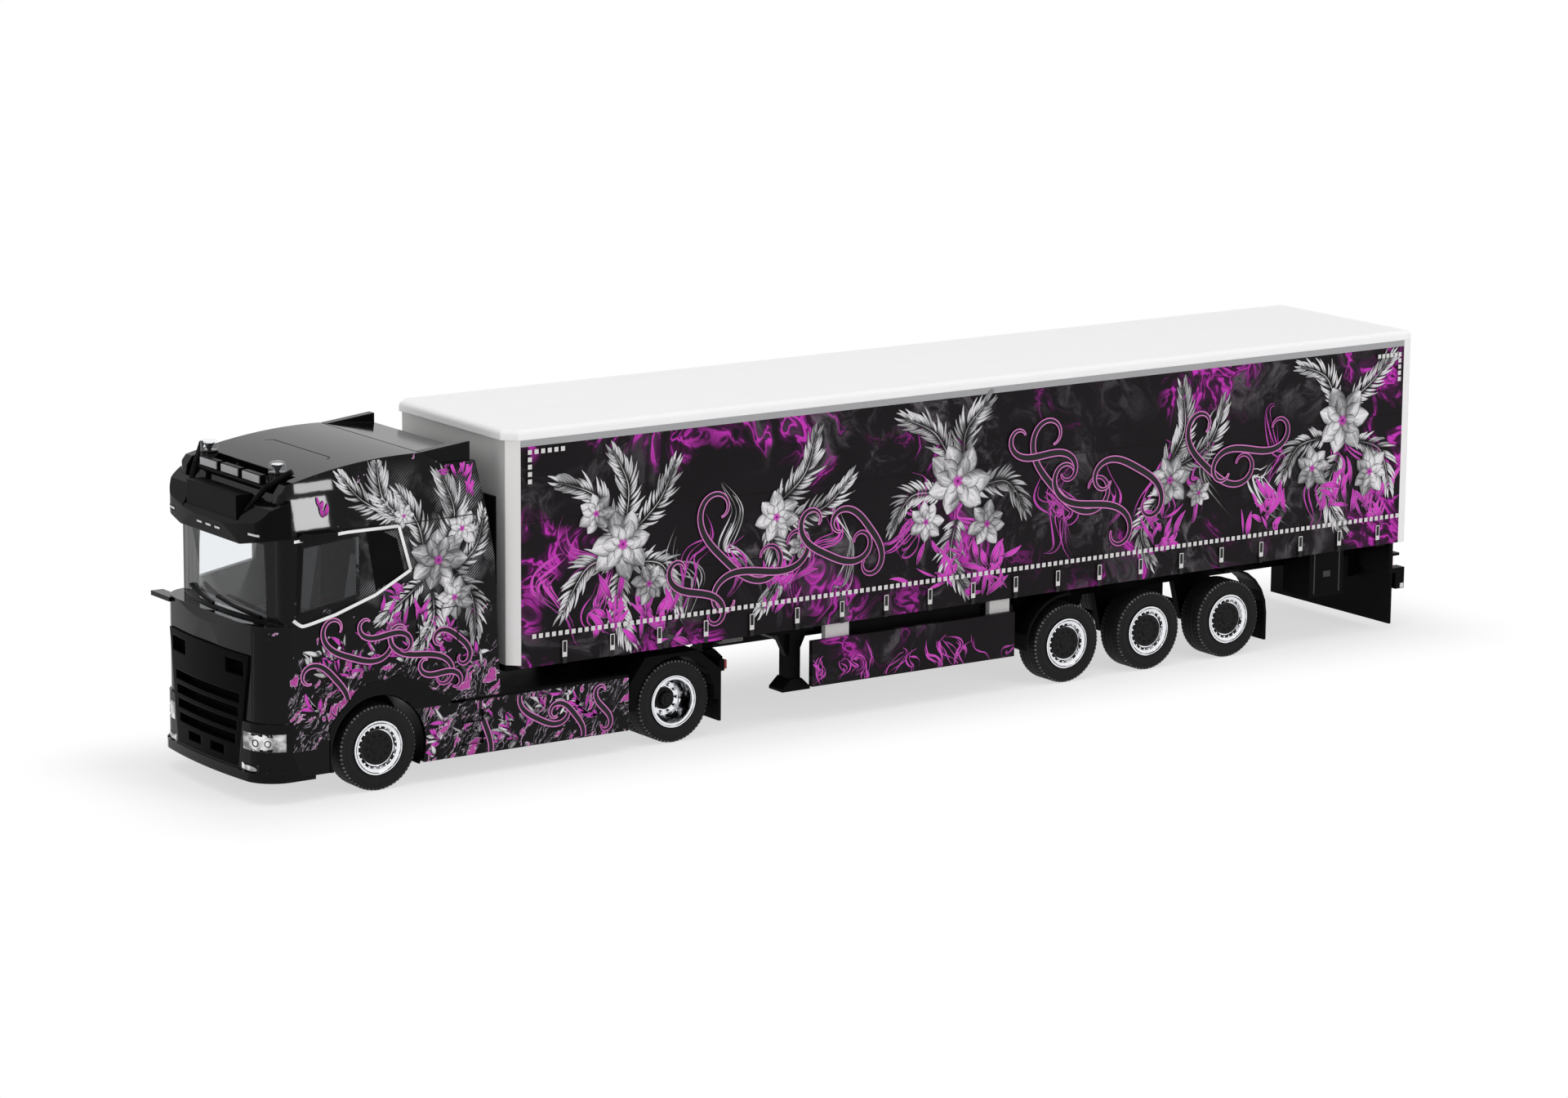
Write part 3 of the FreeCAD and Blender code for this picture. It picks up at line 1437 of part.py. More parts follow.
beam_outer_y = beam_y + beam_width
rubbing_low_z = plate_top_z + coupling_gap
beam = pad("beam", "XZ", [
    (beam_rear_x, beam_low_z),
    (neck_end_x, beam_low_z),
    (neck_start_x, neck_low_z),
    (box_front_x - foot_depth, neck_low_z),
    (box_front_x - foot_depth, box_floor_z),
    (beam_rear_x, box_floor_z),
], beam_y, beam_outer_y)
hangers = []
for number, place in enumerate((bogie_front_x, bogie_middle_x, bogie_rear_x)):
    hangers.append(bearing(
        f"hanger{number + 1}", place, beam_low_z, bearing_low_z, beam_y, beam_outer_y,
    ))
crosses = []
cross_rear_ahead = size("cross_rear_ahead", 3.55)
cross_rear_x = box_rear_x + cross_rear_ahead
cross_front_ahead = size("cross_front_ahead", 1.05)
cross_front_x = kingpin_x + cross_front_ahead
cross_places = [
    cross_rear_x,
    bogie_rear_x,
    bogie_middle_x,
    *[bogie_front_x + (cross_front_x - bogie_front_x) * step / 5 for step in range(6)],
]
for number, place in enumerate(cross_places):
    crosses.append(block(
        f"cross{number + 1}",
        (place - cross_half, place + cross_half),
        (-box_inner_y, box_inner_y),
        (neck_low_z, box_floor_z),
    ))
rubbing_plate = block(
    "rubbing_plate",
    (rubbing_rear_x, box_front_x - foot_depth / 2),
    (-rubbing_half, rubbing_half),
    (rubbing_low_z, neck_low_z),
)
front_foot = block(
    "front_foot",
    (box_front_x - foot_depth, box_front_x),
    (-foot_half, foot_half),
    (neck_low_z, box_floor_z),
)
rear_hanger = block(
    "rear_hanger",
    (beam_rear_x, beam_rear_x + beam_width),
    (beam_y, beam_outer_y),
    (rear_hanger_low_z, beam_low_z),
)
half_chassis = fuse("half_chassis", beam, rear_hanger, *hangers)
node("trailer_chassis", fuse(
    "trailer_chassis_set", pair("half_chassis_pair", half_chassis), rubbing_plate, front_foot, *crosses,
))

# Kingpin under the rubbing plate.
kingpin_low_z = size("kingpin_low_z", 10.9)
node("kingpin", rod(
    "kingpin_bar", kingpin_radius,
    (kingpin_x, ZERO, kingpin_low_z),
    (kingpin_x, ZERO, rubbing_low_z),
))

# Landing legs, raised, with spreading feet and corner braces under a mounting plate.
leg_share = size("leg_share", 0.390742)
leg_rear_x = kingpin_x - trailer_span * leg_share
leg_width = size("leg_width", 1.8)
leg_front_x = leg_rear_x + leg_width
leg_inner_y = size("leg_inner_y", 9.5)
leg_outer_y = size("leg_outer_y", 12.0)
leg_low_z = size("leg_low_z", 5.6)
leg_plate_z = size("leg_plate_z", 12.4)
leg_plate_behind = size("leg_plate_behind", 3.2)
leg_plate_rear_x = leg_rear_x - leg_plate_behind
leg_plate_ahead = size("leg_plate_ahead", 3.1)
leg_plate_front_x = leg_front_x + leg_plate_ahead
foot_low_z = size("foot_low_z", 4.3)
foot_edge_z = size("foot_edge_z", 4.7)
foot_spread = size("foot_spread", 1.4)
brace_run = size("brace_run", 1.7)
leg_post = block("leg_post", (leg_rear_x, leg_front_x), (leg_inner_y, leg_outer_y), (leg_low_z, leg_plate_z))
leg_foot = pad("leg_foot", "XZ", [
    (leg_rear_x - foot_spread, foot_low_z),
    (leg_front_x + foot_spread, foot_low_z),
    (leg_front_x + foot_spread, foot_edge_z),
    (leg_front_x, leg_low_z + foot_edge_z - foot_low_z),
    (leg_rear_x, leg_low_z + foot_edge_z - foot_low_z),
    (leg_rear_x - foot_spread, foot_edge_z),
], leg_inner_y - foot_edge_z + foot_low_z, leg_outer_y + foot_edge_z - foot_low_z)
leg_plate = block(
    "leg_plate",
    (leg_plate_rear_x, leg_plate_front_x),
    (leg_inner_y, leg_outer_y),
    (leg_plate_z, neck_low_z),
)
leg_brace = pad("leg_brace", "XZ", [
    (leg_rear_x - brace_run, leg_plate_z),
    (leg_rear_x, leg_plate_z - brace_run - brace_run),
    (leg_front_x, leg_plate_z - brace_run - brace_run),
    (leg_front_x + brace_run, leg_plate_z),
], leg_inner_y + cross_half, leg_outer_y - cross_half)
leg_tie = block(
    "leg_tie",
    (leg_rear_x, leg_front_x),
    (-leg_inner_y, leg_inner_y),
    (leg_plate_z, neck_low_z),
)
leg = fuse("leg", leg_post, leg_foot, leg_plate, leg_brace)
node("landing_legs", fuse("landing_leg_set", pair("landing_leg_pair", leg), cut(
    "leg_tie_cut", leg_tie, pair("leg_tie_slots", block(
        "leg_tie_slot",
        (leg_rear_x - overrun, leg_front_x + overrun),
        (beam_y - seat_gap, beam_outer_y + seat_gap),
        (leg_plate_z - overrun, neck_low_z + overrun),
    )),
)))

# Side guards under the box, one plate each side, on light uprights.
guard_rear_ahead = size("guard_rear_ahead", 9.35)
guard_rear_x = bogie_front_x + guard_rear_ahead
guard_front_gap = size("guard_front_gap", 0.5)
guard_front_x = leg_rear_x - guard_front_gap
guard_low_z = size("guard_low_z", 5.0)
guard_top_z = size("guard_top_z", 11.4)
guard_inner_y = size("guard_inner_y", 13.4)
guard_outer_y = size("guard_outer_y", 14.2)
guard = block("guard", (guard_rear_x, guard_front_x), (guard_inner_y, guard_outer_y), (guard_low_z, guard_top_z))
node("side_guards", pair("side_guard_pair", guard))

upright_depth = size("upright_depth", 0.9)
upright_low_z = size("upright_low_z", 5.6)
upright_front_x = leg_plate_rear_x
upright_front_width = size("upright_front_width", 4.0)
upright_rear_ahead = size("upright_rear_ahead", 9.75)
upright_rear_x = bogie_front_x + upright_rear_ahead
upright_rear_width = size("upright_rear_width", 3.5)
uprights = []
for number, (low_x, high_x) in enumerate((
    (upright_front_x - upright_front_width, upright_front_x),
    (upright_rear_x, upright_rear_x + upright_rear_width),
)):
    upright = block(
        f"upright{number + 1}",
        (low_x, high_x),
        (guard_inner_y - upright_depth, guard_inner_y),
        (upright_low_z, box_floor_z),
    )
    uprights.append(pair(f"upright_pair{number + 1}", upright))
node("guard_brackets", group("guard_bracket_set", *uprights))

# Pallet boxes between the guards.
pallet_rear_ahead = size("pallet_rear_ahead", 14.25)
pallet_rear_x = bogie_front_x + pallet_rear_ahead
pallet_front_gap = size("pallet_front_gap", 4.8)
pallet_front_x = upright_front_x - pallet_front_gap
pallet_inner_y = size("pallet_inner_y", 7.4)
pallet_outer_y = size("pallet_outer_y", 12.4)
pallet_low_z = size("pallet_low_z", 6.4)
pallet_chamfer = size("pallet_chamfer", 1.4)
pallet_box = pad("pallet_box", "XZ", [
    (pallet_rear_x + pallet_chamfer, pallet_low_z),
    (pallet_front_x - pallet_chamfer, pallet_low_z),
    (pallet_front_x, pallet_low_z + pallet_chamfer),
    (pallet_front_x, neck_low_z),
    (pallet_rear_x, neck_low_z),
    (pallet_rear_x, pallet_low_z + pallet_chamfer),
], pallet_inner_y, pallet_outer_y)
node("pallet_boxes", pair("pallet_box_pair", pallet_box))

# Mudguards: quarter rings before the first and behind the last trailer axle, with a flap behind.
guard_ring_radius = neck_low_z - axle_z
guard_ring_wall = size("guard_ring_wall", 0.4)
guard_ring_low_z = size("guard_ring_low_z", 5.4)
guard_ring_inner_y = size("guard_ring_inner_y", 9.9)
guard_ring_outer_y = size("guard_ring_outer_y", 14.1)
trailer_flap_low_z = size("trailer_flap_low_z", 1.7)
quarters = []
for number, (centre_x, direction) in enumerate(((bogie_front_x, 1), (bogie_rear_x, -1))):
    ring = cut(
        f"guard_ring{number + 1}",
        faceted_bar(
            f"guard_ring_form{number + 1}", guard_ring_sides, guard_ring_radius,
            (centre_x, guard_ring_inner_y, axle_z),
            (centre_x, guard_ring_outer_y, axle_z),
        ),
        faceted_bar(
            f"guard_ring_space{number + 1}", guard_ring_sides, guard_ring_radius - guard_ring_wall,
            (centre_x, guard_ring_inner_y - overrun, axle_z),
            (centre_x, guard_ring_outer_y + overrun, axle_z),
        ),
    )
    near_x = centre_x - cross_half * direction
    far_x = centre_x + (guard_ring_radius + overrun) * direction
    span = (near_x, far_x) if direction > 0 else (far_x, near_x)
    quarters.append(common(f"guard_quarter{number + 1}", ring, block(
        f"guard_quarter_space{number + 1}",
        span,
        (ZERO, half_box),
        (guard_ring_low_z, neck_low_z + overrun),
    )))
flap_rear_x = bogie_rear_x - guard_ring_radius
trailer_flap = block(
    "trailer_flap",
    (flap_rear_x, flap_rear_x + guard_ring_wall),
    (guard_ring_inner_y, guard_ring_outer_y),
    (trailer_flap_low_z, axle_z),
)
rear_quarter = fuse("rear_quarter", quarters[1], trailer_flap)
node("mudguards", group("mudguard_set", pair("front_quarters", quarters[0]), pair("rear_quarters", rear_quarter)))

# Toolboxes behind the bogie.
toolbox_rear_ahead = size("toolbox_rear_ahead", 10.7)
toolbox_rear_x = box_rear_x + toolbox_rear_ahead
toolbox_front_ahead = size("toolbox_front_ahead", 17.2)
toolbox_front_x = box_rear_x + toolbox_front_ahead
toolbox_inner_y = size("toolbox_inner_y", 7.4)
toolbox_outer_y = size("toolbox_outer_y", 13.4)
toolbox_low_z = size("toolbox_low_z", 6.7)
toolbox = block(
    "toolbox",
    (toolbox_rear_x, toolbox_front_x),
    (toolbox_inner_y, toolbox_outer_y),
    (toolbox_low_z, box_floor_z),
)
node("toolboxes", pair("toolbox_pair", toolbox))

# Rear bumper: panel, shelf, lower bar and two buffers, with lamps and a rubber skirt.
rear_panel_ahead = size("rear_panel_ahead", 1.1)
rear_panel_x = box_rear_x + rear_panel_ahead
rear_half = size("rear_half", 13.6)
rear_bar_low_z = size("rear_bar_low_z", 8.7)
rear_bar_top_z = size("rear_bar_top_z", 9.4)
rear_bar_setback = size("rear_bar_setback", 0.2)
rear_bar_x = box_rear_x - rear_bar_setback
shelf_low_z = size("shelf_low_z", 11.3)
shelf_top_z = size("shelf_top_z", 11.7)
buffer_inner_y = size("buffer_inner_y", 11.8)
buffer_low_z = size("buffer_low_z", 6.2)
buffer_front_ahead = size("buffer_front_ahead", 0.4)
buffer_front_x = box_rear_x + buffer_front_ahead
rear_panel = block(
    "rear_panel",
    (rear_panel_x, beam_rear_x),
    (-rear_half, rear_half),
    (rear_bar_low_z, box_side_low_z),
)
rear_bar = block("rear_bar", (rear_bar_x, rear_panel_x), (-rear_half, rear_half), (rear_bar_low_z, rear_bar_top_z))
rear_shelf = block("rear_shelf", (rear_bar_x, rear_panel_x), (-rear_half, rear_half), (shelf_low_z, shelf_top_z))
buffer = block("buffer", (-half_length, buffer_front_x), (buffer_inner_y, rear_half), (buffer_low_z, rear_bar_top_z))
node("rear_bumper", fuse("rear_bumper_set", rear_panel, rear_bar, rear_shelf, pair("buffers", buffer)))

rear_lamp_inner_y = size("rear_lamp_inner_y", 8.4)
rear_lamp_outer_y = size("rear_lamp_outer_y", 12.9)
rear_lamp_ahead = size("rear_lamp_ahead", 0.4)
rear_lamp_x = box_rear_x + rear_lamp_ahead
rear_lamp_gap = size("rear_lamp_gap", 0.1)
rear_lamp = block(
    "rear_lamp",
    (rear_lamp_x, rear_panel_x),
    (rear_lamp_inner_y, rear_lamp_outer_y),
    (rear_bar_top_z + rear_lamp_gap, shelf_low_z - rear_lamp_gap),
)
node("rear_lamps", pair("rear_lamp_pair", rear_lamp))

rear_skirt_low_z = size("rear_skirt_low_z", 1.0)
rear_skirt_wall = size("rear_skirt_wall", 0.4)
node("rear_skirt", block(
    "rear_skirt_plate",
    (rear_panel_x, rear_panel_x + rear_skirt_wall),
    (-rear_half, rear_half),
    (rear_skirt_low_z, rear_bar_low_z),
))

# Wheelsets: rubber tyres on one turned piece each of axle, hubs and rims.
rim_radius = size("rim_radius", 3.64)
tyre_bore = rim_radius + seat_gap
seat_inset = size("seat_inset", 0.6)


def wheelset(name, centre_x, outer_y, width, hub_inset):
    """Two tyres and the wheel piece between them, turned about the axle."""
    inner_y = outer_y - width
    tyre = revolve(name + "_tyre", [
        (tyre_bore, inner_y),
        (tyre_radius, inner_y),
        (tyre_radius, outer_y),
        (tyre_bore, outer_y),
    ], centre_x, axle_z)
    node("tyres_" + name, pair(name + "_tyres", tyre))
    profile = [
        (pin_radius, inner_y + seat_inset),
        (rim_radius, inner_y + seat_inset),
        (rim_radius, outer_y - hub_inset),
        (ZERO, outer_y - hub_inset),
    ]
    opposite = [(radius, -place) for radius, place in reversed(profile)]
    node("wheels_" + name, revolve(name + "_wheel", opposite + profile, centre_x, axle_z))


front_tyre_y = size("front_tyre_y", 14.25)
front_tyre_width = size("front_tyre_width", 3.8)
drive_tyre_y = size("drive_tyre_y", 13.5)
drive_tyre_width = size("drive_tyre_width", 7.2)
trailer_tyre_y = size("trailer_tyre_y", 14.3)
trailer_tyre_width = size("trailer_tyre_width", 4.2)
hub_inset = size("hub_inset", 0.65)
dish_inset = size("dish_inset", 2.9)
wheelset("front", front_axle_x, front_tyre_y, front_tyre_width, hub_inset)
wheelset("drive", drive_axle_x, drive_tyre_y, drive_tyre_width, dish_inset)
for number, place in enumerate((bogie_front_x, bogie_middle_x, bogie_rear_x)):
    wheelset(f"trailer_{number + 1}", place, trailer_tyre_y, trailer_tyre_width, hub_inset)

# Rebuild, check every shape and write one file per sub-part.
doc.recompute()
faults = []
for feature in doc.Objects:
    if "Invalid" in feature.State or "Error" in feature.State:
        faults.append(f"{feature.Name}: {feature.State}")
for part in nodes:
    if part.Shape.isNull() or not part.Shape.isValid() or not part.Shape.Solids:
        faults.append(f"{part.Label}: no valid solid")
if faults:
    raise RuntimeError("; ".join(faults))
os.makedirs("parts", exist_ok=True)
for part in nodes:
    part.Shape.exportStep(f"parts/{part.Label}.step")
print(len(nodes), "sub-parts written")
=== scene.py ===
import math
import random

import bpy
from mathutils import Matrix, Vector
from mathutils.bvhtree import BVHTree


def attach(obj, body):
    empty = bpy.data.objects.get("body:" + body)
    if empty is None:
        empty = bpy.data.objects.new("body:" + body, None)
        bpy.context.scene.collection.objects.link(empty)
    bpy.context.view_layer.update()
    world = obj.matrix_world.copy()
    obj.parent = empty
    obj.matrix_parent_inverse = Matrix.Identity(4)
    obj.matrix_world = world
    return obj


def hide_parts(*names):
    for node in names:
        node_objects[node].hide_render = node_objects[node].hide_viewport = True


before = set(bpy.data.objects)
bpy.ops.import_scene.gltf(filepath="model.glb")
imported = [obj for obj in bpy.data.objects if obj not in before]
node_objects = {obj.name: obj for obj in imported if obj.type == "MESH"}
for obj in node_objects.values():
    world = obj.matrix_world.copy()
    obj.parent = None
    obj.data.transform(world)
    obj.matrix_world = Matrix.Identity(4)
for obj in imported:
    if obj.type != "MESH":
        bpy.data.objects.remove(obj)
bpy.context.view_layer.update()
MM = 0.001

# Camera: a long lens, a little above the lorry and off its front left corner, as the photograph is taken.
# Its place and turn come from a fit to the photograph; the roll is under half a degree.
eye = Vector((390.721, 552.468, 160.665)) * MM
azimuth = math.radians(145.1475)
elevation = math.radians(11.6941)
roll = math.radians(0.4488)
sensor_width = 36.0
focal_length_pixels = 6029.98
photo_width_pixels = 1920.0
back = Vector((
    math.sin(azimuth) * math.cos(elevation),
    -math.cos(azimuth) * math.cos(elevation),
    math.sin(elevation),
))
level = Vector((math.cos(azimuth), math.sin(azimuth), 0.0))
upright = back.cross(level)
across = math.cos(roll) * level + math.sin(roll) * upright
upwards = math.cos(roll) * upright - math.sin(roll) * level
lens = bpy.data.cameras.new("camera")
lens.sensor_fit = "HORIZONTAL"
lens.sensor_width = sensor_width
lens.lens = sensor_width * focal_length_pixels / photo_width_pixels
lens.clip_start = 0.01
camera = bpy.data.objects.new("camera", lens)
camera.matrix_world = Matrix.Translation(eye) @ Matrix((across, upwards, back)).transposed().to_4x4()
bpy.context.scene.collection.objects.link(camera)
bpy.context.scene.camera = camera
bpy.context.scene.view_settings.view_transform = "Standard"

# Studio: a pale floor that fades into a white surround, with soft boxes overhead, in front and at one side.
# Three small cards show only in the cab's gloss. The floor keeps the shadow near the lorry, and camera, gloss
# and glass see the same white behind it.


class Tint:
    """One socket of a finish. Sums and products of tints and numbers become Math nodes."""

    def __init__(self, finish, socket):
        self.finish = finish
        self.socket = socket

    def maths(self, operation, *values):
        return self.finish.node("Math", {"operation": operation}, values)

    def __add__(self, other):
        return self.maths("ADD", self, other)

    def __sub__(self, other):
        return self.maths("SUBTRACT", self, other)

    def __rsub__(self, other):
        return self.maths("SUBTRACT", other, self)

    def __mul__(self, other):
        return self.maths("MULTIPLY", self, other)

    def __pow__(self, other):
        return self.maths("POWER", self, other)

    def __gt__(self, other):
        return self.maths("GREATER_THAN", self, other)

    def __lt__(self, other):
        return self.maths("LESS_THAN", self, other)

    def __abs__(self):
        return self.maths("ABSOLUTE", self)

    def at_least(self, low):
        return self.maths("MAXIMUM", self, low)

    def at_most(self, high):
        return self.maths("MINIMUM", self, high)

    __radd__ = __add__
    __rmul__ = __mul__


class Finish:
    """A material, or the world, whose nodes are added one by one."""

    def __init__(self, name, **fixed):
        self.material = bpy.data.materials.new(name)
        self.material.use_nodes = True
        self.tree = self.material.node_tree
        self.paint = self.tree.nodes["Principled BSDF"]
        self.set(**fixed)

    def node(self, kind, settings=None, values=(), output=0):
        made = self.tree.nodes.new("ShaderNode" + kind)
        for key, value in (settings or {}).items():
            setattr(made, key, value)
        pairs = values.items() if isinstance(values, dict) else enumerate(values)
        for key, value in pairs:
            self.join(value, made.inputs[key])
        return Tint(self, made.outputs[output])

    def join(self, value, socket):
        if isinstance(value, Tint):
            self.tree.links.new(value.socket, socket)
        elif isinstance(value, tuple) and len(value) == 3 and socket.type == "RGBA":
            socket.default_value = (*value, 1.0)
        else:
            socket.default_value = value

    def set(self, **values):
        """Put fixed values or tints on the surface's own sockets."""
        for key, value in values.items():
            self.join(value, self.paint.inputs[key.replace("_", " ").title().replace("Ior", "IOR")])
        return self.material

    def spot(self):
        """The place on the lorry in millimetres."""
        place = self.node("TexCoord", None, (), 3)
        to_millimetres = (1.0 / MM, 1.0 / MM, 1.0 / MM)
        return self.node("Mapping", {"vector_type": "POINT"}, {"Vector": place, "Scale": to_millimetres})

    def parts(self, vector, count=3):
        """The first numbers of a vector."""
        return [self.node("SeparateXYZ", None, (vector,), axis) for axis in range(count)]

    def sideways(self):
        """How squarely a face looks to either side."""
        normal = self.node("NewGeometry", None, (), 1)
        return abs(self.node("SeparateXYZ", None, (normal,), 1))

    def noise(self, spot, scale, detail=2.0, roughness=0.5, distortion=0.0, output=0):
        return self.node("TexNoise", None, {
            "Vector": spot, "Scale": scale, "Detail": detail,
            "Roughness": roughness, "Distortion": distortion,
        }, output)

    def ease(self, value, low, high):
        """0 below low, 1 above high, smooth between; the other way round if low is above high."""
        if low > high:
            return 1.0 - self.ease(value, high, low)
        span = {"Value": value, "From Min": low, "From Max": high}
        return self.node("MapRange", {"interpolation_type": "SMOOTHSTEP"}, span)

    def blend(self, share, first, second):
        return self.node("Mix", {"data_type": "RGBA"}, {0: share, 6: first, 7: second}, 2)

    def bump(self, height, depth, strength=1.0, edge=0.0):
        """Relief of the given depth in millimetres; edge is the radius that sharp corners are shaded with."""
        values = {"Strength": strength, "Distance": depth * MM, "Height": height}
        if edge:
            values["Normal"] = self.node("Bevel", {"samples": 4}, {"Radius": edge * MM})
        return self.node("Bump", None, values)


def tone(*screen):
    """A colour by its 8-bit screen values; up to straight_top the screen's curve is a straight line."""
    straight_top = 10.3
    return tuple(
        part / 255.0 / 12.92 if part < straight_top else ((part / 255.0 + 0.055) / 1.055) ** 2.4
        for part in screen
    )


def seen_rays(finish):
    """1 where a camera, gloss or glass ray looks."""
    camera_ray, gloss_ray, glass_ray = (
        finish.node("LightPath", None, (), output)
        for output in ("Is Camera Ray", "Is Glossy Ray", "Is Transmission Ray")
    )
    return (camera_ray + gloss_ray + glass_ray).at_most(1.0)


class Surround(Finish):
    """The world's own nodes."""

    def __init__(self):
        world = bpy.data.worlds.new("surround")
        world.use_nodes = True
        bpy.context.scene.world = world
        self.tree = world.node_tree


surround = Surround()
daylight = 0.50
white_light = seen_rays(surround)
surround.tree.nodes["Background"].inputs["Color"].default_value = (1.0, 1.0, 1.0, 1.0)
surround.join(white_light * (1.0 - daylight) + daylight, surround.tree.nodes["Background"].inputs["Strength"])

floor_finish = Finish("studio_floor")
shadow_half_length = 98.0 * MM
shadow_half_width = 14.0 * MM
fade_width = 19.0 * MM
near_white = 0.62
floor_x, floor_y = floor_finish.parts(floor_finish.node("TexCoord", None, (), 3), 2)
past_end = (abs(floor_x) - shadow_half_length).at_least(0.0)
past_side = (abs(floor_y) - shadow_half_width).at_least(0.0)
floor_distance = (past_end * past_end + past_side * past_side) ** 0.5
far_floor = floor_finish.ease(floor_distance, 0.0, fade_width)
matt = floor_finish.node("BsdfDiffuse", None, {"Color": tone(244, 244, 244)})
glow = floor_finish.node("Emission", None, {"Color": (1.0, 1.0, 1.0), "Strength": 1.0})
floor_share = seen_rays(floor_finish) * (far_floor * (1.0 - near_white) + near_white)
floor_look = floor_finish.node("MixShader", None, (floor_share, matt, glow))
floor_finish.join(floor_look, floor_finish.tree.nodes["Material Output"].inputs["Surface"])
floor_mesh = bpy.data.meshes.new("studio_floor")
floor_sides = 96
floor_radius = 3.0
floor_rim = []
for k in range(floor_sides):
    angle = math.tau * k / floor_sides
    floor_rim.append((floor_radius * math.cos(angle), floor_radius * math.sin(angle), 0.0))
floor_mesh.from_pydata(floor_rim, [], [tuple(range(floor_sides))])
floor_mesh.materials.append(floor_finish.material)
floor = bpy.data.objects.new("studio_floor", floor_mesh)
bpy.context.scene.collection.objects.link(floor)


def soft_box(name, place, aim, width, height, radiance, lights=True, mirrors=True):
    """A rectangular light in millimetres; radiance 1 looks white.
    It lights what is matt, shows in gloss, or does both."""
    light = bpy.data.lights.new(name, "AREA")
    light.shape = "RECTANGLE"
    light.size = width * MM
    light.size_y = height * MM
    light.energy = radiance * math.pi * light.size * light.size_y
    box = bpy.data.objects.new(name, light)
    place = Vector(place) * MM
    box.location = place
    box.rotation_euler = (place - Vector(aim) * MM).to_track_quat("Z", "Y").to_euler()
    box.visible_diffuse = lights
    box.visible_glossy = mirrors
    bpy.context.scene.collection.objects.link(box)


soft_box("overhead_box", (40, 120, 620), (0, 0, 20), 620, 380, 1.72)
soft_box("front_box", (620, 180, 260), (60, 0, 20), 200, 260, 2.6)
soft_box("side_box", (-290, 600, 210), (-20, 0, 25), 300, 150, 6.0, mirrors=False)
soft_box("cheek_card", (-198.4, 540.2, 55.2), (89, 13.8, 37.6), 8.6, 7.8, 54.0, lights=False)
soft_box("cheek_slip", (-200.0, 540.0, 61.6), (88.4, 13.5, 40.5), 9.4, 2.4, 46.0, lights=False)
soft_box("pillar_card", (560, 260, 70), (93, 12, 29), 36, 150, 26.0, lights=False)

# Tractor chassis: a ladder frame of two rails with cross members, a deck plate, the coupling plate and rear
# fenders. All are satin black mouldings with a fine spark-eroded grain.


def dress(finish, *names):
    """Give CAD nodes a finish."""
    for name in names:
        materials = node_objects[name].data.materials
        materials.clear()
        materials.append(finish)


satin = Finish("satin_black_moulding", specular_ior_level=0.03)
satin_grain = satin.noise(satin.spot(), 9.0, 3.0, 0.6)
satin_cloud = satin.noise(satin.spot(), 0.35, 2.0)
satin_black = satin.set(
    roughness=satin_cloud * 0.16 + 0.30,
    base_color=satin.blend(satin_cloud, tone(9, 9, 10), tone(17, 17, 18)),
    normal=satin.bump(satin_grain, 0.010, 0.5, 0.12),
)
dress(satin_black, "tractor_frame", "deck", "fifth_wheel", "drive_fenders")

# Wheels: plated ring rims with a black hub disc, ten nut seats and a cap, on one turned axle for each pair.
# The rims are bright plated plastic; their outer edge, a groove and the inner wall are drawn in painted
# shade, a darker, patchy plating. The drive axle's are deep dishes with plated nuts.


def piece(name, corners, faces, finish, body, smooth=True):
    """A new mesh in millimetres that rides on a body."""
    mesh = bpy.data.meshes.new(name)
    mesh.from_pydata([tuple(part * MM for part in corner) for corner in corners], [], faces)
    for look in (finish if isinstance(finish, (list, tuple)) else [finish]):
        mesh.materials.append(look)
    if smooth:
        mesh.shade_smooth()
        mesh.set_sharp_from_angle(angle=math.radians(35))
    made = bpy.data.objects.new(name, mesh)
    bpy.context.scene.collection.objects.link(made)
    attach(made, body)
    return made


class Turning:
    """Turned shapes gathered into one mesh, about an axle along Y or small ones on a circle round it."""

    def __init__(self, centre_x, centre_z, face=0.0):
        self.centre = (centre_x, centre_z)
        self.face = face
        self.corners, self.faces, self.looks = [], [], []

    def turn(self, outline, side, segments, look=0, radius_at=None, middle=None, start=-math.pi / 2):
        """Turn (radius, depth) corners; depth goes inwards from the face, on the given side of the lorry.
        look is one finish, or tells it by the row of the outline and the step round the axle."""
        x, z = middle or self.centre
        first, rows = len(self.corners), len(outline)
        for k in range(segments):
            angle = math.tau * (k / segments) + start
            for row, (radius, depth) in enumerate(outline):
                reach = radius_at(row, k, radius) if radius_at else radius
                y = side * (self.face - depth)
                self.corners.append((x + reach * math.cos(angle), y, z + reach * math.sin(angle)))
        for k in range(segments):
            near, far = first + k * rows, first + (k + 1) % segments * rows
            for row in range(rows - 1):
                face = (near + row, near + row + 1, far + row + 1, far + row)
                self.faces.append(face if side > 0 else face[::-1])
                self.looks.append(look(row, k) if callable(look) else look)

    def studs(self, count, ring, outline, side, segments, look, offset=0.0):
        """Small turned shapes, evenly spaced on a circle round the axle; offset is a share of their pitch."""
        for k in range(count):
            angle = math.tau * (k + offset) / count
            middle = (self.centre[0] + ring * math.cos(angle), self.centre[1] + ring * math.sin(angle))
            self.turn(outline, side, segments, look, middle=middle, start=0.0)

    def make(self, name, finishes, body, slot):
        made = piece(name, self.corners, self.faces, finishes, body)
        made.data.polygons.foreach_set("material_index", self.looks)
        return made


def banded(*bands):
    """One finish for each row of an outline."""
    return lambda row, step: bands[row]


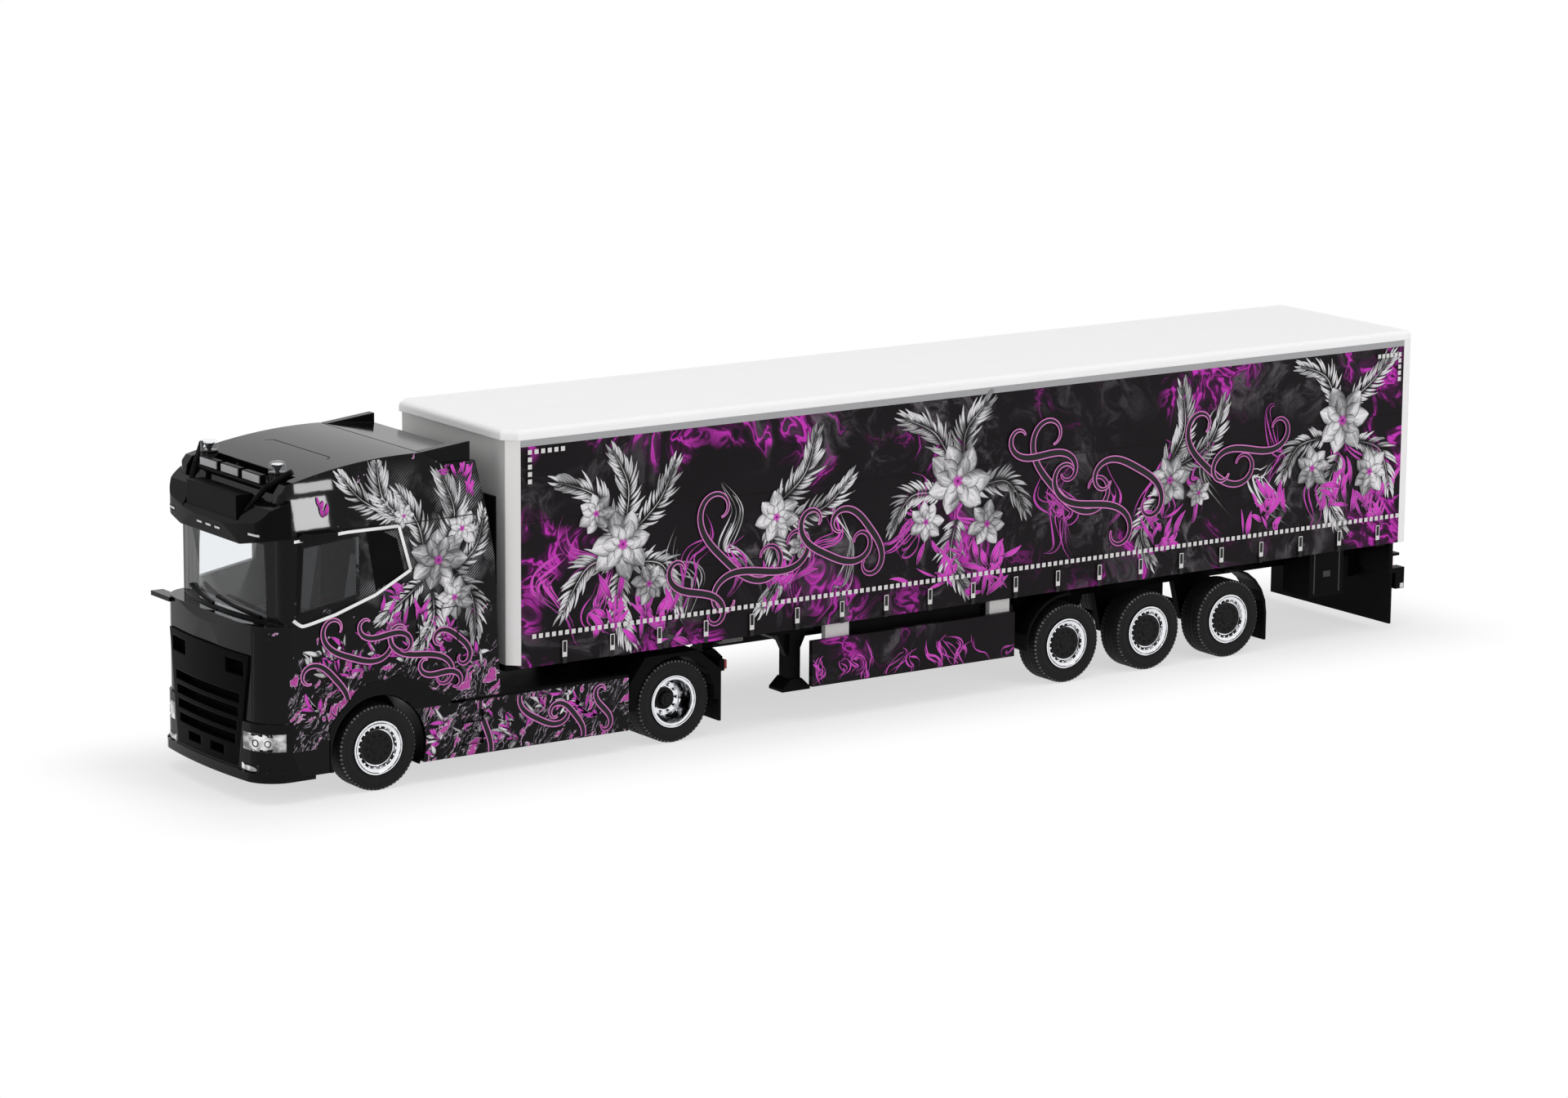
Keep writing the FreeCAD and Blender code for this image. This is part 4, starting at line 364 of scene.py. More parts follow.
plating = Finish("bright_plating", base_color=tone(236, 237, 240), metallic=1.0)
plating_cloud = plating.noise(plating.spot(), 1.6, 3.0)
bright_plating = plating.set(
    roughness=plating_cloud * 0.05 + 0.035,
    normal=plating.bump(plating_cloud, 0.012, 0.5),
)
# Painted shade and reflection: plating darkened in patches, for the rows of the rims that would lie in shade.
shade = Finish("painted_shade_plating", metallic=1.0)
painted_shade_cloud = shade.noise(shade.spot(), 0.8, 3.0)
painted_shade_plating = shade.set(
    base_color=shade.blend(shade.ease(painted_shade_cloud, 0.44, 0.60), tone(34, 34, 36), tone(176, 177, 181)),
    roughness=painted_shade_cloud * 0.1 + 0.08, normal=shade.bump(painted_shade_cloud, 0.02, 0.5),
)
hub = Finish("hub_black", specular_ior_level=0.14)
hub_cloud = hub.noise(hub.spot(), 3.0, 3.0)
hub_black = hub.set(
    base_color=hub.blend(hub_cloud, tone(14, 14, 15), tone(24, 24, 25)), roughness=hub_cloud * 0.2 + 0.35,
    normal=hub.bump(hub.noise(hub.spot(), 12.0), 0.008, 0.5),
)

axles = {
    "front": (79.65, 14.25, "front_wheelset"),
    "drive": (33.3, 13.5, "drive_wheelset"),
    "trailer_1": (-33.25, 14.3, "trailer_1_wheelset"),
    "trailer_2": (-48.15, 14.3, "trailer_2_wheelset"),
    "trailer_3": (-63.05, 14.3, "trailer_3_wheelset"),
}
axle_height = 5.7
nuts = 10
rim_steps, hub_steps, drive_hub_steps = 120, 96, 72
nut_steps, bolt_steps = 12, 10
bright, black, painted_shade_row = range(3)
deep_rim = [
    (3.60, 0.16), (3.58, 0.02), (3.50, -0.03), (3.40, 0.02), (3.33, 0.10), (3.20, 0.08), (3.04, 0.14),
    (2.94, 0.32), (2.86, 0.90), (2.78, 1.60), (2.60, 2.20), (2.30, 2.45), (1.90, 2.55), (1.45, 2.60),
]
deep_rim_looks = banded(
    painted_shade_row, bright, bright, painted_shade_row, bright, bright, bright, painted_shade_row, painted_shade_row, painted_shade_row, painted_shade_row, bright, bright,
)
drive_hub = [
    (1.52, 2.62), (1.50, 2.30), (1.42, 2.22), (1.12, 2.18), (1.05, 2.10), (1.03, 1.62),
    (0.94, 1.52), (0.60, 1.50), (0.56, 1.42), (0.40, 1.38), (0.02, 1.38),
]
drive_nut = [(0.27, 2.58), (0.25, 2.14), (0.17, 2.02), (0.01, 2.00)]
drive_nut_ring = 1.95
ring_rim = [
    (3.60, 0.14), (3.58, 0.01), (3.50, -0.05), (3.38, -0.04), (3.27, 0.04), (3.18, 0.16), (3.10, 0.19),
    (2.98, 0.20), (2.86, 0.26), (2.66, 0.42), (2.50, 0.54), (2.38, 0.56), (2.28, 0.56),
]
ring_rim_looks = banded(
    painted_shade_row, bright, bright, painted_shade_row, bright, bright, bright, bright, painted_shade_row, painted_shade_row, bright, bright,
)
rim_bolt = [(0.17, 0.50), (0.15, 0.29), (0.10, 0.24), (0.01, 0.23)]
rim_bolt_ring = 2.74
hub_disc = [
    (2.32, 0.58), (2.30, 0.34), (2.22, 0.27), (1.98, 0.25), (1.20, 0.31), (1.02, 0.36), (0.92, 0.34),
    (0.86, 0.20), (0.78, 0.15), (0.66, 0.15), (0.60, 0.22), (0.44, 0.23), (0.38, 0.17), (0.02, 0.15),
]
nut_seat = [(0.24, 0.24), (0.21, 0.17), (0.15, 0.19), (0.12, 0.27), (0.01, 0.27)]
nut_seat_ring = 1.62
for axle, (axle_x, outer_y, body) in axles.items():
    rims = Turning(axle_x, axle_height, outer_y)
    for side in (1, -1):
        if axle == "drive":
            rims.turn(deep_rim, side, rim_steps, deep_rim_looks)
            rims.turn(drive_hub, side, drive_hub_steps, black)
            rims.studs(nuts, drive_nut_ring, drive_nut, side, nut_steps, bright)
        else:
            rims.turn(ring_rim, side, rim_steps, ring_rim_looks)
            rims.studs(2 * nuts, rim_bolt_ring, rim_bolt, side, bolt_steps, bright, 0.5)
            rims.turn(hub_disc, side, hub_steps, black)
            rims.studs(nuts, nut_seat_ring, nut_seat, side, nut_steps, black)
    rims.make("rims_" + axle, [bright_plating, hub_black, painted_shade_plating], body, "bright_metal")
    dress(hub_black, "wheels_" + axle)

# Tyres: soft black rubber rings pressed on the rims, with ribbed treads and small lugs along each shoulder.
# Each is turned in fine steps round the same outline as the solid ring that it stands for.
rubber = Finish("tyre_rubber", specular_ior_level=0.15)
rubber_cloud = rubber.noise(rubber.spot(), 1.3, 4.0)
rubber_grain = rubber.noise(rubber.spot(), 14.0, 2.0)
tyre_rubber = rubber.set(
    base_color=rubber.blend(rubber_cloud, tone(17, 17, 18), tone(30, 30, 31)),
    roughness=rubber_cloud * 0.2 + 0.52,
    normal=rubber.bump(rubber_grain, 0.012, 0.6),
)
# Painted highlight: paler rubber on the lugs' outer faces stands for the light they catch.
lug_highlight = Finish("lug_highlight_rubber", specular_ior_level=0.3)
lug_highlight_cloud = lug_highlight.noise(lug_highlight.spot(), 1.1, 3.0)
lug_highlight_rubber = lug_highlight.set(
    base_color=lug_highlight.blend(lug_highlight.ease(lug_highlight_cloud, 0.36, 0.64), tone(34, 34, 35), tone(104, 104, 104)),
    roughness=0.4, normal=lug_highlight.bump(lug_highlight_cloud, 0.01, 0.5),
)
lugs = 60
lug_steps = 4
notch_row = 12
notch_depths = (0.10, 0.16, 0.14, 0.10)


def tyre_outline(width):
    """(radius, depth) from the outer bead over the tread to the inner bead."""
    tread_radius, groove_radius = 5.70, 5.58
    shoulder = 0.40
    half = [
        (3.66, 0.50), (3.66, 0.20), (3.74, 0.12), (3.92, 0.10), (4.02, 0.13), (4.10, 0.08), (4.45, 0.01),
        (4.85, 0.00), (4.93, 0.035), (5.00, 0.03), (5.06, 0.0), (5.22, 0.02), (5.42, 0.06), (5.56, 0.12),
        (5.66, 0.24), (tread_radius, shoulder),
    ]
    ribs = []
    groove_half = 0.07
    groove_floor_half = groove_half * 0.6
    count = 4
    for k in range(1, count):
        middle = shoulder + (width - 2.0 * shoulder) * k / count
        ribs += [
            (tread_radius, middle - groove_half), (groove_radius, middle - groove_floor_half),
            (groove_radius, middle + groove_floor_half), (tread_radius, middle + groove_half),
        ]
    other = [(radius, width - depth) for radius, depth in reversed(half)]
    return half + ribs + other


def lug_reach(rows):
    """Notches between the lugs on the shoulder rows, but none at the foot, where the tyre stands."""
    notched = {}
    for row, depth in enumerate(notch_depths, notch_row):
        notched[row] = notched[rows - 1 - row] = depth

    def reach(row, step, radius):
        return radius - (notched.get(row, 0.0) if step and step % lug_steps == 0 else 0.0)

    return reach


def lug_highlight_look(rows):
    """The lugs' outer faces are paler than the grooves: a painted highlight on them."""
    shoulder = (notch_row, notch_row + 1, rows - 2 - notch_row, rows - 3 - notch_row)
    return lambda row, step: int(row in shoulder and step % lug_steps in (1, 2))


single_tyre = (14.3, 4.2)
tyre_places = {
    "front": [(14.25, 3.8)], "drive": [(13.5, 3.4), (9.7, 3.4)],
    "trailer_1": [single_tyre], "trailer_2": [single_tyre], "trailer_3": [single_tyre],
}
for axle, (axle_x, outer_y, body) in axles.items():
    tyres = Turning(axle_x, axle_height)
    for outer, width in tyre_places[axle]:
        tyres.face = outer
        outline = tyre_outline(width)
        rows = len(outline)
        for side in (1, -1):
            tyres.turn(outline, side, lugs * lug_steps, lug_highlight_look(rows), lug_reach(rows))
    made = tyres.make("treaded_tyres_" + axle, [tyre_rubber, lug_highlight_rubber], body, "tyre_rubber")
    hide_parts("tyres_" + axle)

# Cab: a hollow moulded shell in gloss black with leaning walls and a bowed nose, grey inside.
# Its sides are printed: torn magenta flakes with pale rims low down, and fine grey etching behind the doors.
peel_depth = 0.004


def printed_cab(name):
    """Gloss black with the side print, which only faces that look sideways carry."""
    cab = Finish(name, specular_ior_level=0.12)
    spot = cab.spot()
    x, y, z = cab.parts(spot)
    flat = cab.node("CombineXYZ", None, (x, 0.0, z))
    blown = cab.noise(flat, 0.22, 2.0, output=1)
    drift = cab.node("VectorMath", {"operation": "SCALE"}, {0: blown, "Scale": 3.2})
    swept = cab.node("VectorMath", {"operation": "ADD"}, (flat, drift))

    def stretched(degrees, scale):
        """The swept place, drawn out along a line that leans back by the given angle."""
        turn = (0.0, math.radians(degrees), 0.0)
        place = {"Vector": swept, "Rotation": turn, "Scale": scale}
        return cab.node("Mapping", {"vector_type": "TEXTURE"}, place)

    # Torn flakes grow denser from the print's top edge down and stop short of the nose.
    print_top_z, print_full_z = 21.0, 12.0
    flake = cab.noise(stretched(46, (2.2, 1.0, 0.8)), 0.55, 4.0, 0.62, 0.4)
    density = cab.ease(z, print_top_z, print_full_z) * cab.ease(x, 93.6, 91.8)
    reach = density - cab.ease(z, print_top_z, 30.0) * 0.6
    threshold = 0.660 - reach * 0.085 + cab.ease(z, 10.6, 10.2) * 0.03
    flake_body = cab.ease(flake - threshold, 0.0, 0.006)
    rim = cab.ease(flake - threshold, -0.020, -0.015) - flake_body
    scratch = cab.noise(stretched(50, (4.0, 1.0, 0.55)), 0.9, 3.0, 0.6)
    tear = cab.ease(abs(scratch - 0.42), 0.010, 0.004)
    line_zone = cab.ease(cab.noise(flat, 0.30, 2.0) + reach * 0.16, 0.60, 0.68)
    lines = cab.ease(abs(scratch - 0.52), 0.020, 0.010) * line_zone

    # The side faces carry the print, but not the bumper's corner low down in front.
    side_y, bumper_x, bumper_top_z = 13.0, 84.5, 6.8
    bumper_corner = (x > bumper_x) * (z < bumper_top_z)
    on_side = cab.ease(cab.sideways(), 0.72, 0.80) * (abs(y) > side_y) * (1.0 - bumper_corner)

    # Fine grey etching behind and over the doors.
    etch_zone = cab.ease(x, 85.0, 79.0) * cab.ease(z, 20.0, 27.0) * cab.ease(z, 43.5, 38.0)
    bands = {"wave_type": "BANDS", "bands_direction": "DIAGONAL"}
    weave = cab.node("TexWave", bands, {"Vector": flat, "Scale": 1.5, "Distortion": 0.8})
    mist = cab.ease(cab.noise(swept, 0.17, 3.0, 0.6), 0.44, 0.64)
    etched = etch_zone * mist * cab.ease(weave, 0.35, 0.65)

    # The room inside the walls is grey; its front bows with the nose.
    nose_bow, nose_inner_x, rear_inner_x, side_inner_y = 0.01, 94.2, 66.4, 13.35
    room_low_z, room_high_z = 15.9, 37.5
    room = (x + y * y * nose_bow < nose_inner_x) * (x > rear_inner_x) * (abs(y) < side_inner_y)
    room = room * (z > room_low_z) * (z < room_high_z)
    ground = cab.blend(room, tone(11, 11, 13), tone(120, 120, 122))
    colour = cab.blend(etched * on_side * 0.50, ground, tone(176, 174, 178))
    colour = cab.blend(lines * on_side * 0.65, colour, tone(190, 176, 192))
    colour = cab.blend(rim * on_side * 0.85, colour, tone(222, 190, 218))
    colour = cab.blend(flake_body * on_side * (1.0 - tear), colour, tone(190, 78, 164))
    printed = ((flake_body + rim + lines + etched) * on_side).at_most(1.0)
    peel = cab.noise(spot, 0.35, 2.0)
    return cab.set(
        base_color=colour, roughness=printed * 0.22 + 0.012 + room * 0.4,
        normal=cab.bump(peel, peel_depth, 0.12, 0.16),
    )


def gloss_moulding(name, level):
    """Plain gloss black; level is how strongly its face mirrors the studio."""
    gloss = Finish(name, specular_ior_level=level)
    gloss_cloud = gloss.noise(gloss.spot(), 0.5, 2.0)
    return gloss.set(
        base_color=gloss.blend(gloss_cloud, tone(8, 8, 9), tone(13, 13, 14)),
        roughness=gloss_cloud * 0.05 + 0.06, normal=gloss.bump(gloss_cloud, peel_depth, 0.4, 0.16),
    )


gloss_black = gloss_moulding("gloss_black", 0.10)
visor_black = gloss_moulding("visor_black", 0.045)
grille_black = gloss_moulding("grille_black", 0.012)
cab_print = printed_cab("printed_cab_black")
# Even shading keeps the gloss from breaking where flat faces meet bowed ones.
for name in ("cab_shell", "roof_deflector", "sun_visor", "front_bumper"):
    even = node_objects[name].modifiers.new("even_faces", "WEIGHTED_NORMAL")
    even.weight = 100
    even.keep_sharp = True
dress(cab_print, "cab_shell", "side_extenders", "side_skirts")
dress(gloss_black, "roof_deflector", "front_bumper", "mirrors", "wheel_flares")
dress(visor_black, "sun_visor")
dress(grille_black, "grille_panel")
dress(satin_black, "wipers", "roof_bar", "roof_lamps", "sign_box")

# Printed shapes: each is a thin film of ink that lies on the faces of the panels under it.
# A print casts its corners onto those faces, so it follows their lean and edges, and stops where they do.


class Print:
    """Flat shapes in (u, v) millimetres, laid on CAD faces that look along one direction, in one mesh."""

    cast_from = 150.0
    deepest_step = 0.3

    def __init__(self, out, over, names, floor=0.0):
        self.out, self.over = Vector(out).normalized(), Vector(over).normalized()
        self.up = Vector((0.0, 0.0, 1.0)) if abs(self.out.z) < 0.5 else Vector((0.0, 1.0, 0.0))
        corners, faces = [], []
        for name in names:
            mesh = node_objects[name].data
            first = len(corners)
            corners += [corner.co.copy() for corner in mesh.vertices]
            faces += [[first + k for k in face.vertices] for face in mesh.polygons]
        self.skin = BVHTree.FromPolygons(corners, faces)
        self.floor = floor
        self.lift = 0.02
        self.corners, self.faces, self.looks, self.grain = [], [], [], []

    def spot(self, u, v):
        """The place on the skin at (u, v), or nothing beside it."""
        start = (self.over * u + self.up * v + self.out * self.cast_from) * MM
        hit = self.skin.ray_cast(start, -self.out)[0]
        return None if hit is None or hit.dot(self.out) < self.floor * MM else hit / MM

    def patch(self, rows, look):
        """A net of (u, v) points; the grain runs along the rows' order, and across each row.
        Faces that would miss the skin, or bridge a deep step in it, are left out."""
        first, wide = len(self.corners), len(rows[0])
        spots = [[self.spot(u, v) for u, v in row] for row in rows]
        for row in spots:
            self.corners += [(place or Vector()) + self.out * self.lift for place in row]
        around = ((0, 0), (0, 1), (1, 1), (1, 0))
        for r in range(len(rows) - 1):
            for c in range(wide - 1):
                four = [spots[r + i][c + j] for i, j in around]
                if None in four:
                    continue
                heights = [place.dot(self.out) for place in four]
                if max(heights) - min(heights) > self.deepest_step:
                    continue
                at = first + r * wide + c
                face = (at, at + 1, at + wide + 1, at + wide)
                along = [((r + i) / (len(rows) - 1), (c + j) / (wide - 1)) for i, j in around]
                if (four[1] - four[0]).cross(four[3] - four[0]).dot(self.out) < 0:
                    face, along = face[::-1], along[::-1]
                self.faces.append(face)
                self.grain += along
                self.looks.append(look)

    def band(self, path, widths, look):
        """A flat line along a path; widths is one width, or one for each point."""
        rows = []
        for k, point in enumerate(path):
            width = widths if isinstance(widths, float) else widths[k]
            run = Vector(path[min(k + 1, len(path) - 1)]) - Vector(path[max(k - 1, 0)])
            aside = Vector((-run.y, run.x)).normalized() * width / 2
            rows.append([(point[0] - aside.x, point[1] - aside.y), (point[0] + aside.x, point[1] + aside.y)])
        self.patch(rows, look)

    def block(self, low, high, look, parts=1):
        """An upright rectangle, in as many parts along u as the surface under it needs."""
        across = [low[0] + (high[0] - low[0]) * k / parts for k in range(parts + 1)]
        self.patch([[(u, low[1]), (u, high[1])] for u in across], look)

    def ring(self, outer, inner, look):
        """The frame between two outlines that have as many corners."""
        rows = [[a, b] for a, b in zip(outer + outer[:1], inner + inner[:1])]
        self.patch(rows, look)

    def layer(self, step=0.005):
        self.lift += step

    def petal(self, root, heading, length, width, look, swell=1.3, bend=0.0, rows=6, columns=4):
        """A leaf, petal or barb whose spine bends as it grows; swell above 1 widens it near the tip."""
        spine = Vector(root)
        net = []
        for r in range(rows + 1):
            t = r / rows
            angle = heading + bend * t
            half = width / 2 * math.sin(math.pi * min(max(t, 0.03), 0.985) ** swell) ** 0.8
            aside = Vector((-math.sin(angle), math.cos(angle))) * half
            net.append([tuple(spine + aside * (2 * c / columns - 1)) for c in range(columns + 1)])
            spine += Vector((math.cos(angle), math.sin(angle))) * (length / rows)
        self.patch(net, look)

    def blossom(self, middle, radius, look, heart, dice):
        """Three rings of petals, one over the other, round a small heart."""
        self.lift = 0.14
        for share, count in ((1.0, 7), (0.72, 6), (0.46, 5)):
            turn = dice.uniform(0.0, math.tau)
            for k in range(count):
                heading = turn + math.tau * k / count + dice.uniform(-0.12, 0.12)
                size = radius * share * dice.uniform(0.85, 1.05)
                self.petal(middle, heading, size, size * 0.62, look, 1.25, dice.uniform(-0.5, 0.5), 8)
                self.layer(0.0008)
            self.layer(0.003)
        for k in range(9):
            self.petal(middle, math.tau * k / 9, radius * 0.17, radius * 0.06, heart, 1.2, rows=3, columns=2)

    def plume(self, points, reach, count, look, dice):
        """A feather: curved barbs on both sides of a tapering shaft."""
        self.lift = 0.06 + dice.uniform(0.0, 0.04)
        path = flowing(points)
        for k in range(count):
            t = (k + 0.4) / count
            at = int(t * (len(path) - 2))
            run = path[at + 1] - path[at]
            heading = math.atan2(run.y, run.x)
            size = reach * math.sin(math.pi * (0.14 + 0.70 * t)) ** 0.7
            for hand in (-1, 1):
                lean = hand * math.radians(66 - 40 * t) * dice.uniform(0.8, 1.1)
                length = size * dice.uniform(0.75, 1.15)
                bend = -hand * dice.uniform(0.3, 0.8)
                self.petal(path[at], heading + lean, length, reach * 0.13, look, 0.9, bend, 6, 2)
            self.layer(0.0005)
        self.band(path, [reach * 0.05 * (1.15 - j / len(path)) for j in range(len(path))], look)

    def strands(self, points, spread, count, thin, look, dice):
        """A skein of fine smoke lines that part and meet along one path."""
        self.lift = 0.02 + dice.uniform(0.0, 0.03)
        path = flowing(points)
        for _ in range(count):
            phase, pace, aside = dice.uniform(0.0, math.tau), dice.uniform(0.5, 1.5), dice.uniform(-0.7, 0.7)
            first = int(dice.uniform(0.0, 0.35) * len(path))
            last = int(dice.uniform(0.65, 1.0) * len(path))
            line, widths = [], []
            for j in range(first, last):
                t = j / (len(path) - 1)
                run = (path[min(j + 1, len(path) - 1)] - path[max(j - 1, 0)]).normalized()
                sway = aside + 0.45 * math.sin(pace * math.tau * t + phase)
                away = spread * math.sin(math.pi * t) ** 0.5 * sway
                line.append(path[j] + Vector((-run.y, run.x)) * away)
                share = (j - first) / max(last - first - 1, 1)
                beat = 0.65 + 0.35 * math.sin(3.1 * math.tau * t + 2.0 * phase)
                widths.append(thin * (0.12 + math.sin(math.pi * share)) * beat)
            self.band(line, widths, look)
            self.layer(0.0008)

    def scroll(self, middle, heading, length, curl, width, line, even=False):
        """A pinstripe whose ends wind up: a pale line, and a narrower dark one over it."""
        count = 110
        pale_margin, thinnest = 0.32, 0.04
        spine, path = Vector((0.0, 0.0)), []
        for k in range(count + 1):
            t = 2.0 * k / count - 1.0
            angle = heading + curl * abs(t) ** 2.3 * (1.0 if even else math.copysign(1.0, t))
            path.append(spine.copy())
            spine += Vector((math.cos(angle), math.sin(angle))) * (length / count)
        shift = Vector(middle) - path[count // 2]
        path = [point + shift for point in path]
        swell = [0.30 + 0.70 * math.sin(math.pi * k / count) ** 0.8 for k in range(count + 1)]
        self.band(path, [width * share for share in swell], line)
        self.layer(0.004)
        self.band(path, [max(width * share - pale_margin, thinnest) for share in swell], line + 1)
        self.layer(0.004)

    def make(self, name, finishes, body, slot):
        made = piece(name, self.corners, self.faces, finishes, body, smooth=False)
        made.data.polygons.foreach_set("material_index", self.looks)
        grain = made.data.uv_layers.new(name="grain")
        for corner, value in zip(grain.uv, self.grain):
            corner.vector = value
        return made


def flowing(points, fine=14):
    """A smooth path through points."""
    ends = [Vector(point) for point in [points[0], *points, points[-1]]]
    path = []
    for a, b, c, d in zip(ends, ends[1:], ends[2:], ends[3:]):
        square, cube = 2.0 * a - 5.0 * b + 4.0 * c - d, 3.0 * b - a - 3.0 * c + d
        for j in range(fine):
            t = j / fine
            path.append(0.5 * (2.0 * b + (c - a) * t + square * t * t + cube * t ** 3))
    return path + [ends[-1]]


def ink(name, dark, light, rim, patchy=0.0):
    """Ink with streaks along the grain, a dark root and a rim of its own tone."""
    made = Finish(name, specular_ior_level=0.25)
    along, across = made.parts(made.node("UVMap", {"uv_map": "grain"}), 2)
    spot = made.spot()
    place = made.node("CombineXYZ", None, (along * 2.2, across * 9.0, made.noise(spot, 0.5) * 6.0))
    streak = made.noise(place, 1.0, 3.0, 0.6)
    centre = 1.0 - abs(across - 0.5) * 2.0
    value = made.ease(along, -0.05, 0.45) * (centre * 0.45 + 0.55) * (streak * 1.1 + 0.35)
    value = value * (1.0 - made.ease(made.noise(spot, 0.22, 2.0), 0.40, 0.62) * patchy)
    colour = made.blend(made.ease(value, 0.10, 0.95), dark, light)
    colour = made.blend(made.ease(centre, 0.16, 0.04) * 0.8, colour, rim)
    return made.set(base_color=colour, roughness=streak * 0.1 + 0.30)


silver_ink = ink("silver_ink", tone(26, 25, 27), tone(240, 238, 241), tone(60, 58, 62), 0.45)
magenta_ink = ink("magenta_ink", tone(120, 20, 112), tone(226, 70, 206), tone(238, 170, 232), 0.3)
pale_ink = ink("pale_pink_ink", tone(196, 96, 176), tone(226, 140, 206), tone(222, 132, 202))
dark_ink = ink("dark_ink", tone(12, 12, 13), tone(20, 19, 21), tone(12, 12, 13))
white_ink = ink("white_ink", tone(226, 226, 226), tone(250, 250, 250), tone(236, 236, 236))
art_inks = [silver_ink, magenta_ink, pale_ink, dark_ink, white_ink]
silver_look, magenta_look, pale_look, dark_look, white_look = range(5)

# Front wheel housings: a thin black liner behind each front wheel, bent from the flare down to the step.
# It hides the far side of the frame, as the moulded wheel arch does.
both_sides = ((1, "left"), (-1, "right"))
arch_x = axles["front"][0]
liner_section = ((6.92, 13.9), (7.02, 13.9), (7.02, 8.2), (6.92, 8.2))
liner_top, liner_foot = 84, 206
liner_steps = 22
for side, hand in both_sides:
    liner_corners, liner_faces = [], []
    for k in range(liner_steps + 1):
        angle = math.radians(liner_top + (liner_foot - liner_top) * k / liner_steps)
        for radius, y in liner_section:
            x, z = arch_x + radius * math.cos(angle), axle_height + radius * math.sin(angle)
            liner_corners.append((x, side * y, z))
    for k in range(liner_steps):
        for c in range(4):
            a, b = 4 * k + c, 4 * k + (c + 1) % 4
            liner_faces.append((a, b, b + 4, a + 4) if side < 0 else (a, a + 4, b + 4, b))
    last = 4 * liner_steps
    liner_faces += [(0, 1, 2, 3), (last + 3, last + 2, last + 1, last)]
    piece("wheel_housing_" + hand, liner_corners, liner_faces, satin_black, "tractor")

# Cab side print: pale scrolls, silver plumes and blossoms behind the doors, a white line round the glass.
# It is pad-printed on both sides in one mirrored layout, with small torn flakes that fall by chance.
seams = Finish("panel_seams", specular_ior_level=0.1, roughness=0.6)
seam_dark = seams.set(base_color=seams.blend(seams.noise(seams.spot(), 2.0), tone(2, 2, 2), tone(6, 6, 6)))
# Painted highlight: a paler grey line beside each dark seam, for the light on its edge; the trailer trim's
# lines use the same grey.
glint = Finish("painted_seam_highlight", specular_ior_level=0.3, roughness=0.3)
glint_cloud = glint.noise(glint.spot(), 0.6)
seam_highlight_and_trim = glint.set(base_color=glint.blend(glint_cloud, tone(30, 30, 31), tone(58, 58, 60)))


def flakes(art, place, magenta_share, heading, spread, lengths, widths, dice):
    """Three torn flakes at one place, magenta or silver by chance."""
    for _ in range(3):
        look = magenta_look if dice.random() < magenta_share else silver_look
        lean = heading + dice.gauss(0.0, spread)
        length, width = dice.uniform(*lengths), dice.uniform(*widths)
        art.petal(place, lean, length, width, look, 1.0, dice.uniform(-1.0, 1.0), 5, 2)


cab_plumes = (
    ([(76.0, 35.6), (78.5, 38.6), (79.0, 43.0)], 3.4, 20),
    ([(77.0, 36.0), (81.5, 38.5), (84.5, 42.0)], 2.9, 18),
    ([(70.0, 30.5), (68.0, 35.5), (69.5, 40.5)], 3.6, 22),
    ([(72.5, 30.0), (73.5, 34.5), (76.0, 39.0)], 3.2, 20),
    ([(68.0, 28.0), (64.8, 31.0), (63.6, 35.5)], 2.7, 18),
    ([(73.0, 27.0), (76.5, 24.5), (79.5, 22.5)], 2.6, 16),
    ([(68.0, 27.5), (65.5, 24.0), (65.0, 19.0)], 3.2, 20),
    ([(71.5, 25.5), (71.5, 21.5), (74.5, 17.5)], 3.0, 18),
)
cab_blossoms = (((70.6, 29.6), 4.3), ((67.0, 33.4), 2.6), ((68.2, 24.4), 2.9), ((75.6, 35.9), 1.7))
cab_tongues = (
    ((66.8, 40.6), 2.6, 3.2), ((68.2, 41.0), 0.4, 2.6), ((65.6, 37.4), 1.9, 3.0), ((76.5, 25.4), 1.2, 2.6),
    ((78.4, 23.4), 2.2, 2.4), ((73.6, 22.0), 1.4, 3.0), ((87.0, 37.4), 1.4, 2.2),
)
cab_scrolls = (
    ((83.6, 18.2), 0.35, 22.0, 5.2, False), ((86.0, 15.6), 0.85, 17.0, -4.6, False),
    ((73.2, 17.4), 0.10, 20.0, 4.8, True), ((78.6, 20.6), -0.15, 14.0, 4.4, True),
    ((67.6, 19.0), 0.7, 13.0, -5.0, False), ((70.4, 14.6), -0.1, 11.0, 4.0, True),
)
skirt_scrolls = (
    ((63.5, 6.4), 1.2, 19.0, 4.6, True), ((55.4, 6.4), 0.5, 17.0, 5.0, False),
    ((49.6, 6.2), 0.9, 14.0, -4.8, False), ((45.2, 6.6), 0.8, 10.0, 4.2, True),
)
cab_scroll_width = 0.95
window_line = [
    (92.1, 24.1), (91.2, 23.4), (90.2, 23.3), (86.0, 24.2), (80.1, 26.1), (74.8, 28.8),
    (76.5, 34.75), (84.0, 34.75), (91.9, 34.3),
]
cab_side_seams = (
    [(79.35, 35.4), (79.35, 14.2)], [(92.55, 34.0), (92.55, 8.4)], [(75.6, 34.95), (65.0, 35.1)],
    [(67.8, 18.6), (67.8, 23.2), (72.6, 23.2), (73.6, 22.6), (73.6, 18.2)], [(92.5, 34.9), (79.4, 35.15)],
)
glass_frame_outer = [(81.3, 25.3), (91.9, 23.9), (91.2, 34.0), (81.3, 34.35)]
glass_frame_inner = [(82.3, 26.3), (91.2, 24.75), (90.6, 33.25), (82.3, 33.95)]
blind_window = [[(75.6, 28.6), (77.0, 34.4)], [(79.9, 26.6), (81.2, 34.3)]]
